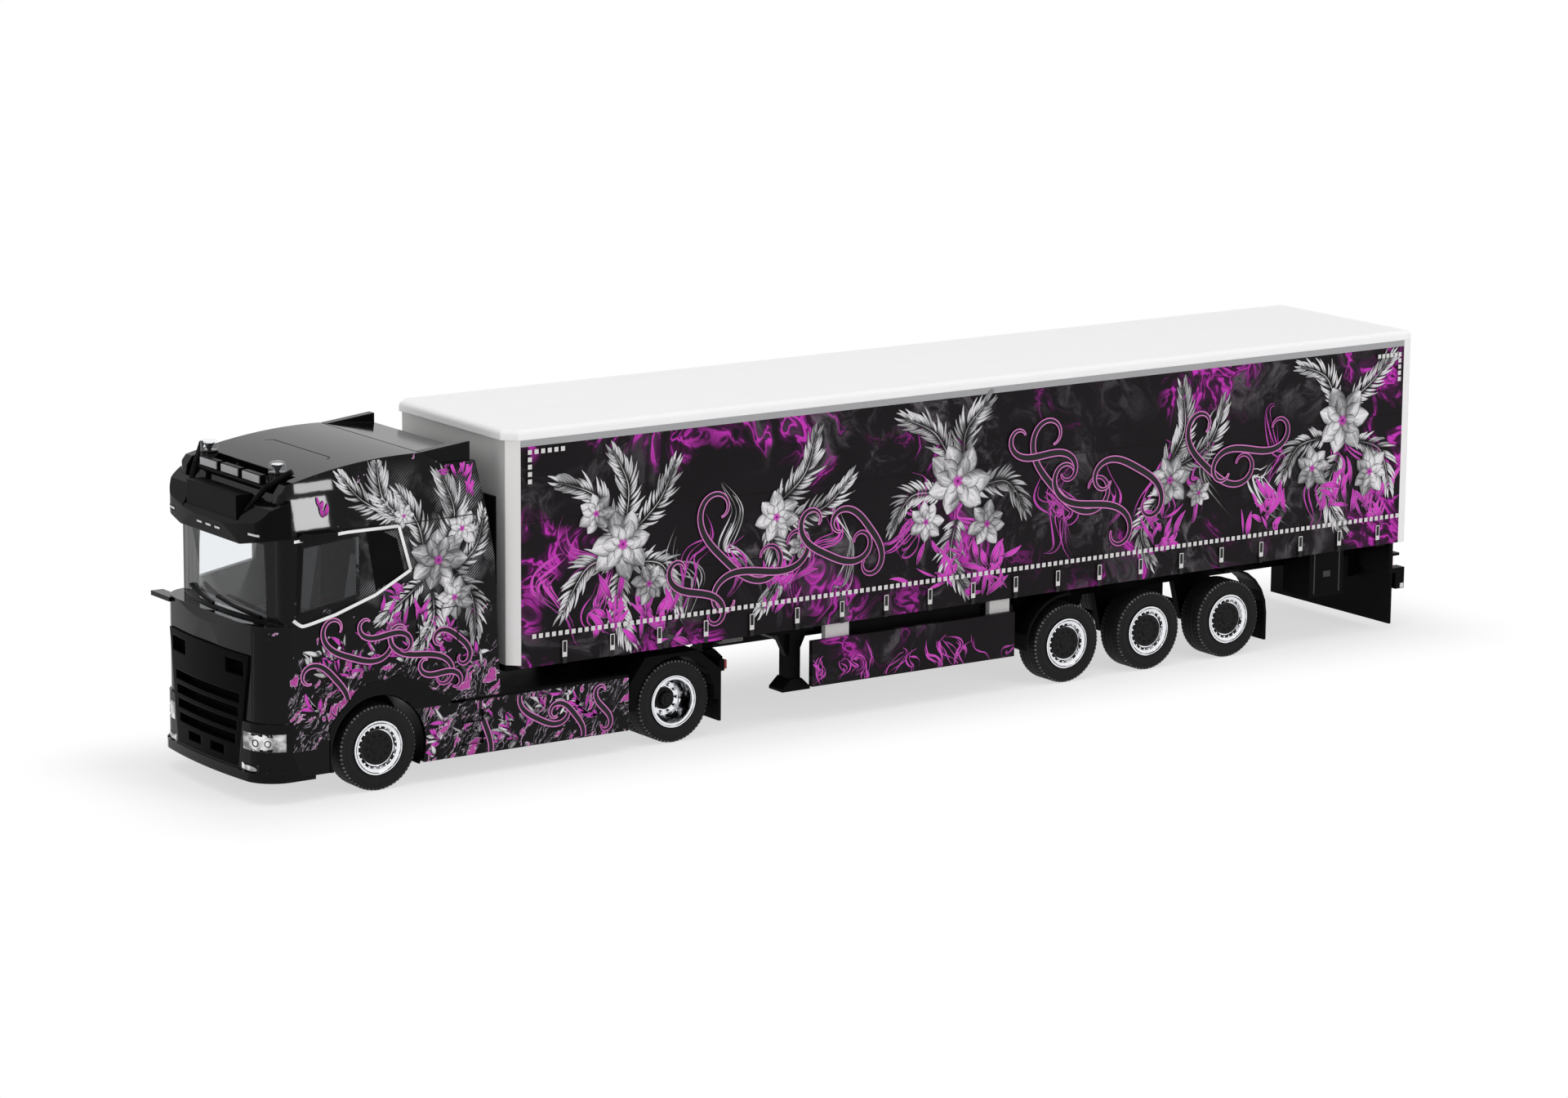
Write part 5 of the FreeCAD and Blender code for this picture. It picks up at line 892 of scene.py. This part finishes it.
for side, hand in both_sides:
    dice = random.Random(41 + side)
    art = Print((0, side, 0), (1, 0, 0), ["cab_shell", "side_extenders"], 12.6)
    for points, reach, count in cab_plumes:
        art.plume(points, reach, count, silver_look, dice)
    for middle, radius in cab_blossoms:
        art.blossom(middle, radius, silver_look, magenta_look, dice)
    for middle, heading, length in cab_tongues:
        for _ in range(5):
            start = (middle[0] + dice.uniform(-0.9, 0.9), middle[1] + dice.uniform(-0.9, 0.9))
            lean, reach = heading + dice.uniform(-0.9, 0.9), length * dice.uniform(0.5, 1.1)
            width = dice.uniform(0.25, 0.65)
            art.petal(start, lean, reach, width, magenta_look, 0.85, dice.uniform(-1.2, 1.2))
            art.layer(0.001)
    art.lift = 0.05
    for _ in range(48):
        x = dice.uniform(62.5, 90.0)
        z = 21.5 - abs(dice.gauss(0.0, 3.6)) - max(x - 78.0, 0.0) * 0.22
        flakes(art, (x, z), 0.55, 0.9, 0.5, (0.9, 3.0), (0.25, 0.75), dice)
    art.lift = 0.20
    for middle, heading, length, curl, even in cab_scrolls:
        art.scroll(middle, heading, length, curl, cab_scroll_width, pale_look, even)
    art.lift = 0.26
    art.band(flowing(window_line[:4], 6)[:-1] + window_line[3:6], 0.44, white_look)
    art.band(window_line[5:7], 0.44, white_look)
    art.band(window_line[6:], 0.40, white_look)
    art.make("cab_side_print_" + hand, art_inks, "tractor", "cab_gloss")

    skirt = Print((0, side, 0), (1, 0, 0), ["side_skirts"], 14.0)
    for _ in range(34):
        place = (dice.uniform(42.0, 72.0), dice.uniform(3.2, 9.8))
        flakes(skirt, place, 0.45, 0.7, 0.6, (0.8, 2.8), (0.2, 0.7), dice)
    skirt.lift = 0.10
    for middle, heading, length, curl, even in skirt_scrolls:
        skirt.scroll(middle, heading, length, curl, cab_scroll_width, pale_look, even)
    skirt.make("skirt_print_" + hand, art_inks, "tractor", "cab_gloss")

    panel = Print((0, side, 0), (1, 0, 0), ["cab_shell", "front_bumper"], 12.0)
    for seam in cab_side_seams:
        panel.lift = 0.30
        panel.band(seam, 0.13, 0)
        # The paler line beside each seam is a painted highlight on its edge.
        panel.lift = 0.305
        panel.band([(x + 0.09, z - 0.04) for x, z in seam], 0.05, 1)
    panel.lift = 0.03
    panel.ring(glass_frame_outer, glass_frame_inner, 0)
    panel.lift = 0.02
    panel.patch(blind_window, 2)
    panel.make("cab_seams_" + hand, [seam_dark, seam_highlight_and_trim, satin_black], "tractor", "cab_gloss")

# Nose, visor and roof trim: panel seams, marker lamps let into the visor, and the raised panel of the roof.
# Each seam is a fine dark line with a paler line beside it, a painted highlight on its edge, laid on the
# faces in the way of the prints.
nose = Print((1, 0, 0), (0, 1, 0), ["cab_shell", "grille_panel", "front_bumper"], 93.0)
for seam in ([(-12.0, 19.9), (12.0, 19.9)], [(-11.0, 10.6), (-11.2, 22.4)], [(11.0, 10.6), (11.2, 22.4)]):
    nose.band(seam, 0.12, 0)
    nose.band([(y + 0.09, z + 0.08) for y, z in seam], 0.05, 1)
nose.make("nose_seams", [seam_dark, seam_highlight_and_trim], "tractor", "cab_gloss")
marker = Finish("visor_marker", specular_ior_level=0.5, roughness=0.2)
marker_cloud = marker.noise(marker.spot(), 3.0)
marker_white = marker.set(base_color=marker.blend(marker_cloud, tone(196, 196, 198), tone(236, 236, 238)))
visor = Print((1, 0, 0), (0, 1, 0), ["sun_visor"], 90.0)
marker_height = 0.60
marker_lens_low, marker_lens_high = 0.17, 0.45
for y, low_z, half, lens_half, steps in (
    (-2.4, 34.35, 0.85, 0.68, 1), (0.0, 34.35, 0.85, 0.68, 1), (2.4, 34.35, 0.85, 0.68, 1),
    (11.0, 34.75, 1.3, 1.1, 12), (-11.0, 34.75, 1.3, 1.1, 12),
):
    visor.lift = 0.02
    visor.block((y - half, low_z), (y + half, low_z + marker_height), 0, steps)
    visor.lift = 0.035
    visor.block((y - lens_half, low_z + marker_lens_low), (y + lens_half, low_z + marker_lens_high), 1, steps)
visor.make("visor_markers", [seam_dark, marker_white], "tractor", "clear_lamp")
roof = Print((0, 0, 1), (1, 0, 0), ["cab_shell"], 38.0)
relief = [
    (91.4, 7.4), (91.4, -7.4), (90.4, -8.2), (83.4, -8.2), (82.6, -7.4), (82.6, 7.4), (83.4, 8.2),
    (90.4, 8.2), (91.4, 7.4),
]
relief_middle_x = 87.0
roof.band(relief, 0.16, 0)
roof.band([(x + math.copysign(0.10, x - relief_middle_x), y * 1.015) for x, y in relief], 0.08, 1)
for y in (-11.2, 11.2):
    roof.band([(91.0, y), (73.4, y)], 0.14, 0)
    roof.band([(91.0, y * 1.01), (73.4, y * 1.01)], 0.07, 1)
roof.make("roof_relief", [seam_dark, seam_highlight_and_trim], "tractor", "cab_gloss")

# Glazing and interior: clear moulded panes, set flush, over a grey moulded interior.
# The panes let nearly all light through and mirror only where they are seen edge-on.
glass = Finish("clear_glazing", roughness=0.03)
thin = glass.node("BsdfTransparent", None, {"Color": tone(250, 251, 252)})
gleam = glass.node("BsdfGlossy", None, {"Color": (1.0, 1.0, 1.0), "Roughness": 0.03})
edge_on = glass.node("LayerWeight", None, {"Blend": 0.5}, 1)
sheen_share = edge_on ** 4.0 * 0.55 + 0.015
clear_pane = glass.node("MixShader", None, (sheen_share, thin, gleam))
glass.join(clear_pane, glass.tree.nodes["Material Output"].inputs["Surface"])
dress(glass.material, "cab_glazing")
cabin = Finish("interior_grey", specular_ior_level=0.2)
cabin_cloud = cabin.noise(cabin.spot(), 2.0, 3.0)
interior_grey = cabin.set(
    base_color=cabin.blend(cabin_cloud, tone(104, 104, 106), tone(128, 128, 130)), roughness=0.6,
    normal=cabin.bump(cabin.noise(cabin.spot(), 8.0), 0.02, 0.5, 0.15),
)
dress(interior_grey, "cab_interior")

# Lamps: clear mouldings over bright reflectors at the front, set in black bezels, and red lenses at the rear.
# The bezels are printed on the clear fronts, and each head lamp has two black rings round its reflectors.
lamp = Finish("clear_lamp", metallic=0.85, specular_ior_level=0.6)
lamp_spot = lamp.spot()
lamp_facets = lamp.node("TexVoronoi", {"feature": "F1"}, {"Vector": lamp_spot, "Scale": 0.9})
lamp_cloud = lamp.noise(lamp_spot, 0.55, 2.0)
clear_lamp = lamp.set(
    base_color=lamp.blend(lamp.ease(lamp_cloud, 0.34, 0.62), tone(112, 112, 114), tone(238, 238, 238)),
    roughness=0.20, normal=lamp.bump(lamp_facets, 0.015, 0.3),
)
dress(clear_lamp, "front_lamps")
pale_lens = Finish("work_lamp_lens", specular_ior_level=0.4)
lens_ribs = pale_lens.node("TexWave", {"bands_direction": "Y"}, {"Vector": pale_lens.spot(), "Scale": 1.6})
pale_lenses = pale_lens.set(
    base_color=pale_lens.blend(lens_ribs, tone(150, 150, 152), tone(178, 178, 180)), roughness=0.3,
    normal=pale_lens.bump(lens_ribs, 0.02, 0.5),
)
dress(pale_lenses, "roof_lamp_lenses")
reflector_z = 8.05


def circle(middle, radius, count=20):
    """Points round a circle."""
    turns = [math.tau * k / count for k in range(count)]
    return [(middle[0] + radius * math.cos(turn), middle[1] + radius * math.sin(turn)) for turn in turns]


def head_lens(cosine, sine, side):
    """A rounded box, lower at its outer end."""
    share = math.copysign(abs(cosine) ** 0.55, cosine)
    rise = math.copysign(abs(sine) ** 0.62, sine)
    return share * 0.84, 8.12 + 0.86 * rise * (1.0 - 0.10 * share * side)


def fog_lens(cosine, sine, side):
    """An oval, flatter below."""
    return cosine * 0.90, 4.52 + sine * (0.40 if sine > 0 else 0.30)


def bezel(name, side, facing, ends, margin, edge, lens, rings, finishes):
    """A black surround on a lamp's clear front, which looks along facing and runs between two (x, y) ends.
    edge is the middle and half of its height, and lens shapes its opening."""
    out_x, out_y = facing
    made = Print((out_x, side * out_y, 0), (-side * out_y, out_x, 0), ["front_lamps"], 60.0)
    low_u, high_u = sorted(side * (y * out_x - out_y * x) for x, y in ends)
    middle_u, half_u = (low_u + high_u) / 2, (high_u - low_u) / 2 + margin
    outer, inner = [], []
    for cosine, sine in circle((0.0, 0.0), 1.0, 28):
        stretch = 1.0 / max(abs(cosine), abs(sine))
        outer.append((middle_u + half_u * cosine * stretch, edge[0] + edge[1] * sine * stretch))
        share, v = lens(cosine, sine, side)
        inner.append((middle_u + half_u * share, v))
    made.ring(outer, inner, 0)
    made.lift = 0.03
    for share, radius in rings:
        middle = (middle_u + half_u * share, reflector_z)
        made.ring(circle(middle, radius), circle(middle, radius * 0.72), 1)
    made.make(name, finishes, "tractor", "cab_gloss")


reflectors = ((-0.28, 0.50), (0.30, 0.46))
for side, hand in both_sides:
    bezel(
        "headlamp_bezel_" + hand, side, (0.80, 0.60), ((96.78, 9.35), (93.3, 14.1)), 0.1, (8.15, 1.14),
        head_lens, reflectors, [gloss_black, satin_black],
    )
    bezel(
        "fog_lamp_bezel_" + hand, side, (0.93, 0.37), ((96.83, 8.9), (96.13, 12.0)), 0.0, (4.60, 0.5),
        fog_lens, (), [gloss_black],
    )
red = Finish("red_lens", specular_ior_level=0.6)
red_ribs = red.node("TexWave", {"bands_direction": "Z"}, {"Vector": red.spot(), "Scale": 1.4})
red_lens = red.set(
    base_color=red.blend(red_ribs, tone(120, 10, 14), tone(176, 20, 24)), roughness=0.15,
    normal=red.bump(red_ribs, 0.03, 0.6),
)
dress(red_lens, "tail_lamps", "rear_lamps")

# Beacons: two clear ribbed domes on black collars, each over a bright cone. They stand on the roof's ledge
# behind the lamp bar, one at each side. Each is turned about Y and then stood upright.
beacon_x, beacon_y = 91.2, 9.1
beacon_collar = [
    (1.16, 40.92), (1.19, 41.0), (1.19, 41.9), (1.12, 42.0), (1.12, 42.2), (1.18, 42.25), (1.18, 42.45),
    (1.05, 42.5), (0.02, 42.5),
]
beacon_cone = [(0.25, 42.5), (0.55, 43.1), (0.80, 43.5), (0.78, 43.52), (0.02, 43.52)]
beacon_dome = [
    (1.10, 42.48), (1.14, 42.6), (1.10, 42.72), (1.14, 42.84), (1.10, 42.96), (1.14, 43.08), (1.10, 43.2),
    (1.14, 43.32), (1.12, 43.5), (1.02, 43.7), (0.84, 43.82), (0.5, 43.88), (0.02, 43.9),
]
for side, hand in both_sides:
    beacon = Turning(0.0, 0.0)
    beacon.turn(beacon_collar, -1, 48, 0)
    beacon.turn(beacon_cone, -1, 32, 1)
    beacon.turn(beacon_dome, -1, 48, 2)
    beacon.corners = [(beacon_x + x, side * beacon_y + z, y) for x, y, z in beacon.corners]
    finishes = [gloss_black, bright_plating, glass.material]
    made = beacon.make("beacon_" + hand, finishes, "tractor", "amber_lens")
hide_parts("beacons")

# Trailer chassis and running gear: two deep beams with cross members, legs, mudguards, boxes and rear bumper.
# Satin black mouldings again; the guard brackets and bumper edges are light grey.
dress(
    satin_black, "trailer_chassis", "kingpin", "landing_legs", "pallet_boxes", "mudguards", "toolboxes",
    "rear_skirt", "rear_bumper", "box_floor", "front_bulkhead",
)
grey = Finish("light_grey_moulding", specular_ior_level=0.3)
grey_cloud = grey.noise(grey.spot(), 5.0, 4.0, 0.7)
light_grey = grey.set(
    base_color=grey.blend(grey_cloud, tone(206, 204, 203), tone(232, 230, 229)), roughness=0.42,
    normal=grey.bump(grey.noise(grey.spot(), 9.0), 0.01, 0.5, 0.1),
)
dress(light_grey, "guard_brackets")
for side, hand in both_sides:
    trim = Print((0, side, 0), (1, 0, 0), ["rear_bumper", "toolboxes", "trailer_chassis", "rear_skirt"], 9.0)
    trim.block((-97.6, 13.0), (-94.7, 13.5), 0)
    trim.block((-97.6, 6.3), (-96.9, 7.0), 0)
    trim.lift = 0.03
    for x in (-84.9, -80.1):
        trim.block((x - 0.12, 7.2), (x + 0.12, 13.4), 1)
    trim.block((-83.2, 9.6), (-81.8, 10.5), 1)
    trim.make("trailer_trim_" + hand, [light_grey, seam_highlight_and_trim], "trailer", "light_grey")

# Box body: white roof, silver-grey front wall, pale rear doors, and curtain sides between pale posts.
white = Finish("white_roof", specular_ior_level=0.3)
white_cloud = white.noise(white.spot(), 0.2, 3.0)
white_roof = white.set(
    base_color=white.blend(white_cloud, tone(250, 250, 250), tone(254, 254, 254)), roughness=0.45,
    normal=white.bump(white_cloud, 0.01, 0.3, 0.2),
)
dress(white_roof, "box_roof")
silver = Finish("silver_front_wall", specular_ior_level=0.3)
silver_cloud = silver.noise(silver.spot(), 4.0, 4.0, 0.7)
post_face = silver.ease(silver.sideways(), 0.25, 0.35)
wall_grey = silver.blend(silver_cloud, tone(204, 203, 202), tone(220, 219, 218))
post_grey = silver.blend(silver_cloud, tone(240, 238, 237), tone(250, 248, 247))
silver_wall = silver.set(
    base_color=silver.blend(post_face, wall_grey, post_grey), roughness=0.42,
    normal=silver.bump(silver_cloud, 0.01, 0.4, 0.12),
)
dress(silver_wall, "box_front_wall")
doors = Finish("rear_doors", specular_ior_level=0.3)
doors_cloud = doors.noise(doors.spot(), 3.0, 3.0)
rear_white = doors.set(
    base_color=doors.blend(doors_cloud, tone(240, 239, 239), tone(248, 247, 247)), roughness=0.4,
    normal=doors.bump(doors_cloud, 0.01, 0.4, 0.1),
)
dress(rear_white, "box_rear_doors")


def curtain_print(name):
    """Near-black cloth-like print with magenta and grey smoke."""
    cloth = Finish(name, specular_ior_level=0.08)
    spot = cloth.spot()
    x, y, z = cloth.parts(spot)
    flat = cloth.node("CombineXYZ", None, (x, 0.0, z))

    def drifted(vector, scale, amount, seed):
        """The place, blown aside by up to half the amount."""
        place = cloth.node("VectorMath", {"operation": "ADD"}, (vector, (seed, 3.0 * seed, 7.0)))
        blown = cloth.noise(place, scale, 2.0, 0.5, 0.0, 1)
        centred = cloth.node("VectorMath", {"operation": "SUBTRACT"}, (blown, (0.5, 0.5, 0.5)))
        moved = cloth.node("VectorMath", {"operation": "SCALE"}, {0: centred, "Scale": amount})
        return cloth.node("VectorMath", {"operation": "ADD"}, (vector, moved))

    # Magenta smoke: bright edges and a soft glow where one slow noise crosses its middle, densest low down.
    swirled = drifted(drifted(flat, 0.06, 34.0, 11.0), 0.19, 9.0, 23.0)
    tall = cloth.node("Mapping", None, {"Vector": swirled, "Scale": (1.0, 1.0, 0.6)})
    crossing = abs(cloth.noise(tall, 0.11, 4.0, 0.60, 0.3) - 0.5)
    fine = (1.0 - crossing * 34.0).at_least(0.0)
    soft = (1.0 - crossing * 12.0).at_least(0.0)
    low = cloth.ease(z, 24.0, 15.0)
    patches = cloth.ease(cloth.noise(flat, 0.060, 1.0) + low * 0.06, 0.54, 0.66)

    # Grey haze over the near-black ground.
    drawn = {"Vector": swirled, "Scale": (1.0, 1.0, 0.5), "Location": (40.0, 0.0, 12.0)}
    grey_strands = cloth.noise(cloth.node("Mapping", None, drawn), 0.22, 5.0, 0.65)
    haze = cloth.ease(grey_strands, 0.47, 0.80) * cloth.ease(cloth.noise(flat, 0.05, 1.0), 0.38, 0.58)
    ground = cloth.blend(cloth.noise(flat, 0.12, 3.0), tone(15, 13, 15), tone(28, 24, 27))
    colour = cloth.blend(haze * 0.75, ground, tone(128, 122, 128))
    colour = cloth.blend(soft * patches * 0.55, colour, tone(120, 26, 112))
    colour = cloth.blend(fine * patches, colour, tone(214, 62, 198))

    # Two welded seams along the cloth, and a silver band over its top edge.
    upper_seam_z, lower_seam_z, top_band_z = 33.2, 24.2, 43.2
    weave = cloth.noise(spot, 7.0, 2.0, 0.7)
    seam = cloth.ease(abs(z - upper_seam_z), 0.10, 0.04) + cloth.ease(abs(z - lower_seam_z), 0.10, 0.04)
    colour = cloth.blend(seam * 0.6, colour, tone(5, 5, 5))
    silver_band = cloth.blend(weave, tone(150, 150, 152), tone(186, 186, 188))
    colour = cloth.blend(z > top_band_z, colour, silver_band)
    relief = seam * -1.0 + weave * 0.10
    return cloth.set(base_color=colour, roughness=0.38, normal=cloth.bump(relief, 0.04, 0.5, 0.1))


curtain = curtain_print("printed_curtain")
dress(curtain, "box_side_left", "box_side_right", "side_guards")

# Curtain side print: silver blossoms and plumes, skeins of magenta smoke and pale scrolls on the dark ground.
# Each side has the same layout and its own smoke, and the side guards below carry more of it.
curtain_plumes = (
    ([(43.0, 30.0), (46.5, 35.5), (52.5, 38.0)], 3.6, 22),
    ([(42.0, 31.0), (41.5, 36.5), (44.0, 41.5)], 3.4, 22),
    ([(41.0, 30.0), (36.5, 34.0), (34.0, 39.0)], 3.2, 20),
    ([(43.0, 27.0), (48.0, 26.0), (52.0, 20.0)], 3.6, 22),
    ([(41.0, 26.0), (36.0, 25.0), (33.5, 19.0)], 3.4, 22),
    ([(42.5, 25.0), (43.0, 20.0), (41.0, 15.0)], 3.4, 20),
    ([(18.0, 31.0), (13.0, 35.0), (11.0, 40.5)], 3.6, 24),
    ([(17.0, 29.0), (10.0, 30.0), (5.0, 34.0)], 3.2, 22),
    ([(19.0, 28.0), (17.0, 22.0), (20.0, 17.0)], 3.6, 22),
    ([(-12.0, 34.0), (-9.0, 38.5), (-4.0, 41.0)], 3.6, 22),
    ([(-14.0, 34.0), (-14.5, 38.5), (-18.0, 42.0)], 3.6, 22),
    ([(-10.0, 30.0), (-5.0, 30.0), (-1.5, 25.5)], 3.2, 20),
    ([(-16.0, 30.0), (-21.5, 30.5), (-25.0, 26.0)], 3.4, 22),
    ([(-13.0, 26.0), (-12.0, 20.5), (-15.0, 15.5)], 3.8, 22),
    ([(-50.0, 29.0), (-53.5, 34.5), (-53.0, 41.0)], 3.6, 24),
    ([(-51.0, 29.0), (-58.0, 32.0), (-61.0, 38.0)], 3.4, 22),
    ([(-50.0, 26.0), (-46.0, 21.0), (-48.0, 16.0)], 3.4, 22),
    ([(-82.0, 36.0), (-80.0, 40.0), (-75.0, 42.0)], 3.2, 18),
    ([(-85.0, 36.0), (-89.0, 38.5), (-93.0, 42.0)], 3.2, 18),
    ([(-80.0, 31.0), (-75.0, 30.0), (-72.0, 25.5)], 3.4, 20),
    ([(-86.0, 30.0), (-91.0, 28.0), (-93.0, 22.0)], 3.4, 20),
    ([(-83.0, 28.0), (-81.0, 22.5), (-84.0, 17.0)], 3.8, 22),
)
curtain_blossoms = (
    ((42.4, 28.6), 5.0), ((46.6, 33.2), 3.0), ((38.2, 22.8), 3.0), ((17.6, 29.6), 3.8), ((13.4, 25.2), 2.2),
    ((-13.0, 31.4), 5.6), ((-7.6, 26.2), 3.0), ((-18.2, 24.8), 3.4), ((-51.0, 27.6), 3.9),
    ((-56.4, 25.2), 2.3), ((-83.4, 33.2), 5.4), ((-77.8, 26.6), 3.4), ((-89.0, 25.0), 3.6),
)
curtain_flames = (
    (43, 18.5, 5.0), (36, 16.0, 4.0), (-12, 19.0, 6.0), (-19, 17.0, 4.0), (-84, 21.0, 6.0), (-90, 19.0, 4.0),
    (16, 18.5, 4.0), (-50, 19.5, 4.0), (-70, 20.0, 3.0),
)
curtain_scrolls = (
    ((26.0, 24.6), 0.75, 34.0, 5.4, False), ((20.0, 22.4), 0.15, 30.0, -5.0, True),
    ((9.0, 23.4), 0.45, 26.0, 5.2, False), ((2.0, 26.4), 0.9, 22.0, -4.6, False),
    ((30.6, 20.6), 0.2, 20.0, 4.8, True), ((-30.0, 28.6), 0.8, 36.0, 5.4, False),
    ((-37.0, 25.6), 0.1, 30.0, 5.0, True), ((-45.0, 30.0), 0.5, 28.0, -5.2, False),
    ((-58.0, 28.6), 0.7, 30.0, 5.2, False), ((-66.0, 30.6), 0.2, 26.0, -4.8, True),
    ((-28.0, 33.6), -0.1, 22.0, 4.6, True),
)
curtain_scroll_width = 1.15
smoke_top_z = 42.0
for side, hand in both_sides:
    dice = random.Random(7 + side)
    art = Print((0, side, 0), (1, 0, 0), ["box_side_" + hand, "side_guards"], 14.0)
    for k in range(26):
        x = 54.0 - k * 5.8 + dice.uniform(-2.0, 2.0)
        z = dice.uniform(15.0, 22.0)
        path = [(x, z)]
        for _ in range(5):
            x += dice.uniform(-4.0, 4.0)
            z += dice.uniform(0.5, 5.0)
            path.append((x, min(z, smoke_top_z)))
        spread, count, thin = dice.uniform(0.8, 2.0), dice.randint(3, 7), dice.uniform(0.18, 0.42)
        art.strands(path, spread, count, thin, magenta_look if dice.random() < 0.7 else silver_look, dice)
    for points, reach, count in curtain_plumes:
        art.plume(points, reach, count, silver_look, dice)
    for middle, radius in curtain_blossoms:
        art.blossom(middle, radius, silver_look, magenta_look, dice)
    for x, z, spread in curtain_flames:
        art.lift = 0.10
        for _ in range(22):
            root = (x + dice.gauss(0.0, spread * 0.5), z + dice.uniform(-2.5, 3.0))
            heading = math.pi / 2 + dice.gauss(0.0, 0.7)
            length, width = dice.uniform(1.5, 4.6), dice.uniform(0.35, 1.1)
            art.petal(root, heading, length, width, magenta_look, 0.9, dice.uniform(-0.9, 0.9), 6, 2)
            art.layer(0.0005)
    art.lift = 0.20
    for middle, heading, length, curl, even in curtain_scrolls:
        art.scroll(middle, heading, length, curl, curtain_scroll_width, pale_look, even)
    for k in range(20):
        path = [(16.0 - k * 2.4 + dice.uniform(-1.0, 1.0), dice.uniform(3.0, 6.0))]
        for _ in range(3):
            path.append((path[-1][0] + dice.uniform(-3.0, 3.0), path[-1][1] + dice.uniform(0.8, 2.6)))
        spread, count, thin = dice.uniform(0.5, 1.2), dice.randint(2, 5), dice.uniform(0.14, 0.30)
        art.strands(path, spread, count, thin, magenta_look, dice)
    art.make("curtain_print_" + hand, art_inks, "trailer", "box_curtain")

# Marks on the curtain sides: pale reflective squares in a row and in the upper corners, and strap buckles.
marks = Finish("reflective_marks", specular_ior_level=0.5)
marks_grain = marks.noise(marks.spot(), 6.0, 3.0)
mark_white = marks.set(
    base_color=marks.blend(marks_grain, tone(204, 203, 202), tone(232, 231, 230)), roughness=0.35,
)
straps = Finish("strap_black", specular_ior_level=0.3)
strap_black = straps.set(base_color=tone(22, 21, 22), roughness=straps.noise(straps.spot(), 3.0) * 0.2 + 0.45)
mark_size = 0.62
mark_pitch = 1.02
far_mark_width = mark_size * 0.9
row_front_x, row_rear_x, row_z = 56.7, -94.5, 17.5
near_corner_x, near_corner_z, near_drop = 57.3, 42.2, 0.98
far_corner_x, far_corner_z, far_pitch, far_drop = -94.4, 41.8, 0.8, 0.92
strap_front_x, strap_pitch, straps_in_row = 51.65, 7.5, 20
buckle_parts = ((0.34, 0.36, 14.5, 16.7, 0), (0.345, 0.25, 15.15, 16.58, 1), (0.345, 0.30, 13.62, 14.45, 1))
for side, hand in both_sides:
    row = Print((0, side, 0), (1, 0, 0), ["box_side_" + hand], 14.0)
    row.lift = 0.34
    for k in range(int((row_front_x - row_rear_x) / mark_pitch) + 1):
        x = row_front_x - k * mark_pitch
        row.block((x - mark_size, row_z), (x, row_z + mark_size), 0)
    for k in range(6):
        x, far_x = near_corner_x - k * mark_pitch, far_corner_x + k * far_pitch
        row.block((x - mark_size, near_corner_z), (x, near_corner_z + mark_size), 0)
        row.block((far_x, far_corner_z), (far_x + far_mark_width, far_corner_z + mark_size), 0)
    for k in range(1, 5):
        z, far_z = near_corner_z - k * near_drop, far_corner_z - k * far_drop
        row.block((near_corner_x - mark_size, z), (near_corner_x, z + mark_size), 0)
        row.block((far_corner_x, far_z), (far_corner_x + far_mark_width, far_z + mark_size), 0)
    for k in range(straps_in_row):
        x = strap_front_x - k * strap_pitch
        for lift, half, low_z, high_z, look in buckle_parts:
            row.lift = lift
            row.block((x - half, low_z), (x + half, high_z), look)
    row.make("curtain_marks_" + hand, [mark_white, strap_black], "trailer", "box_curtain")
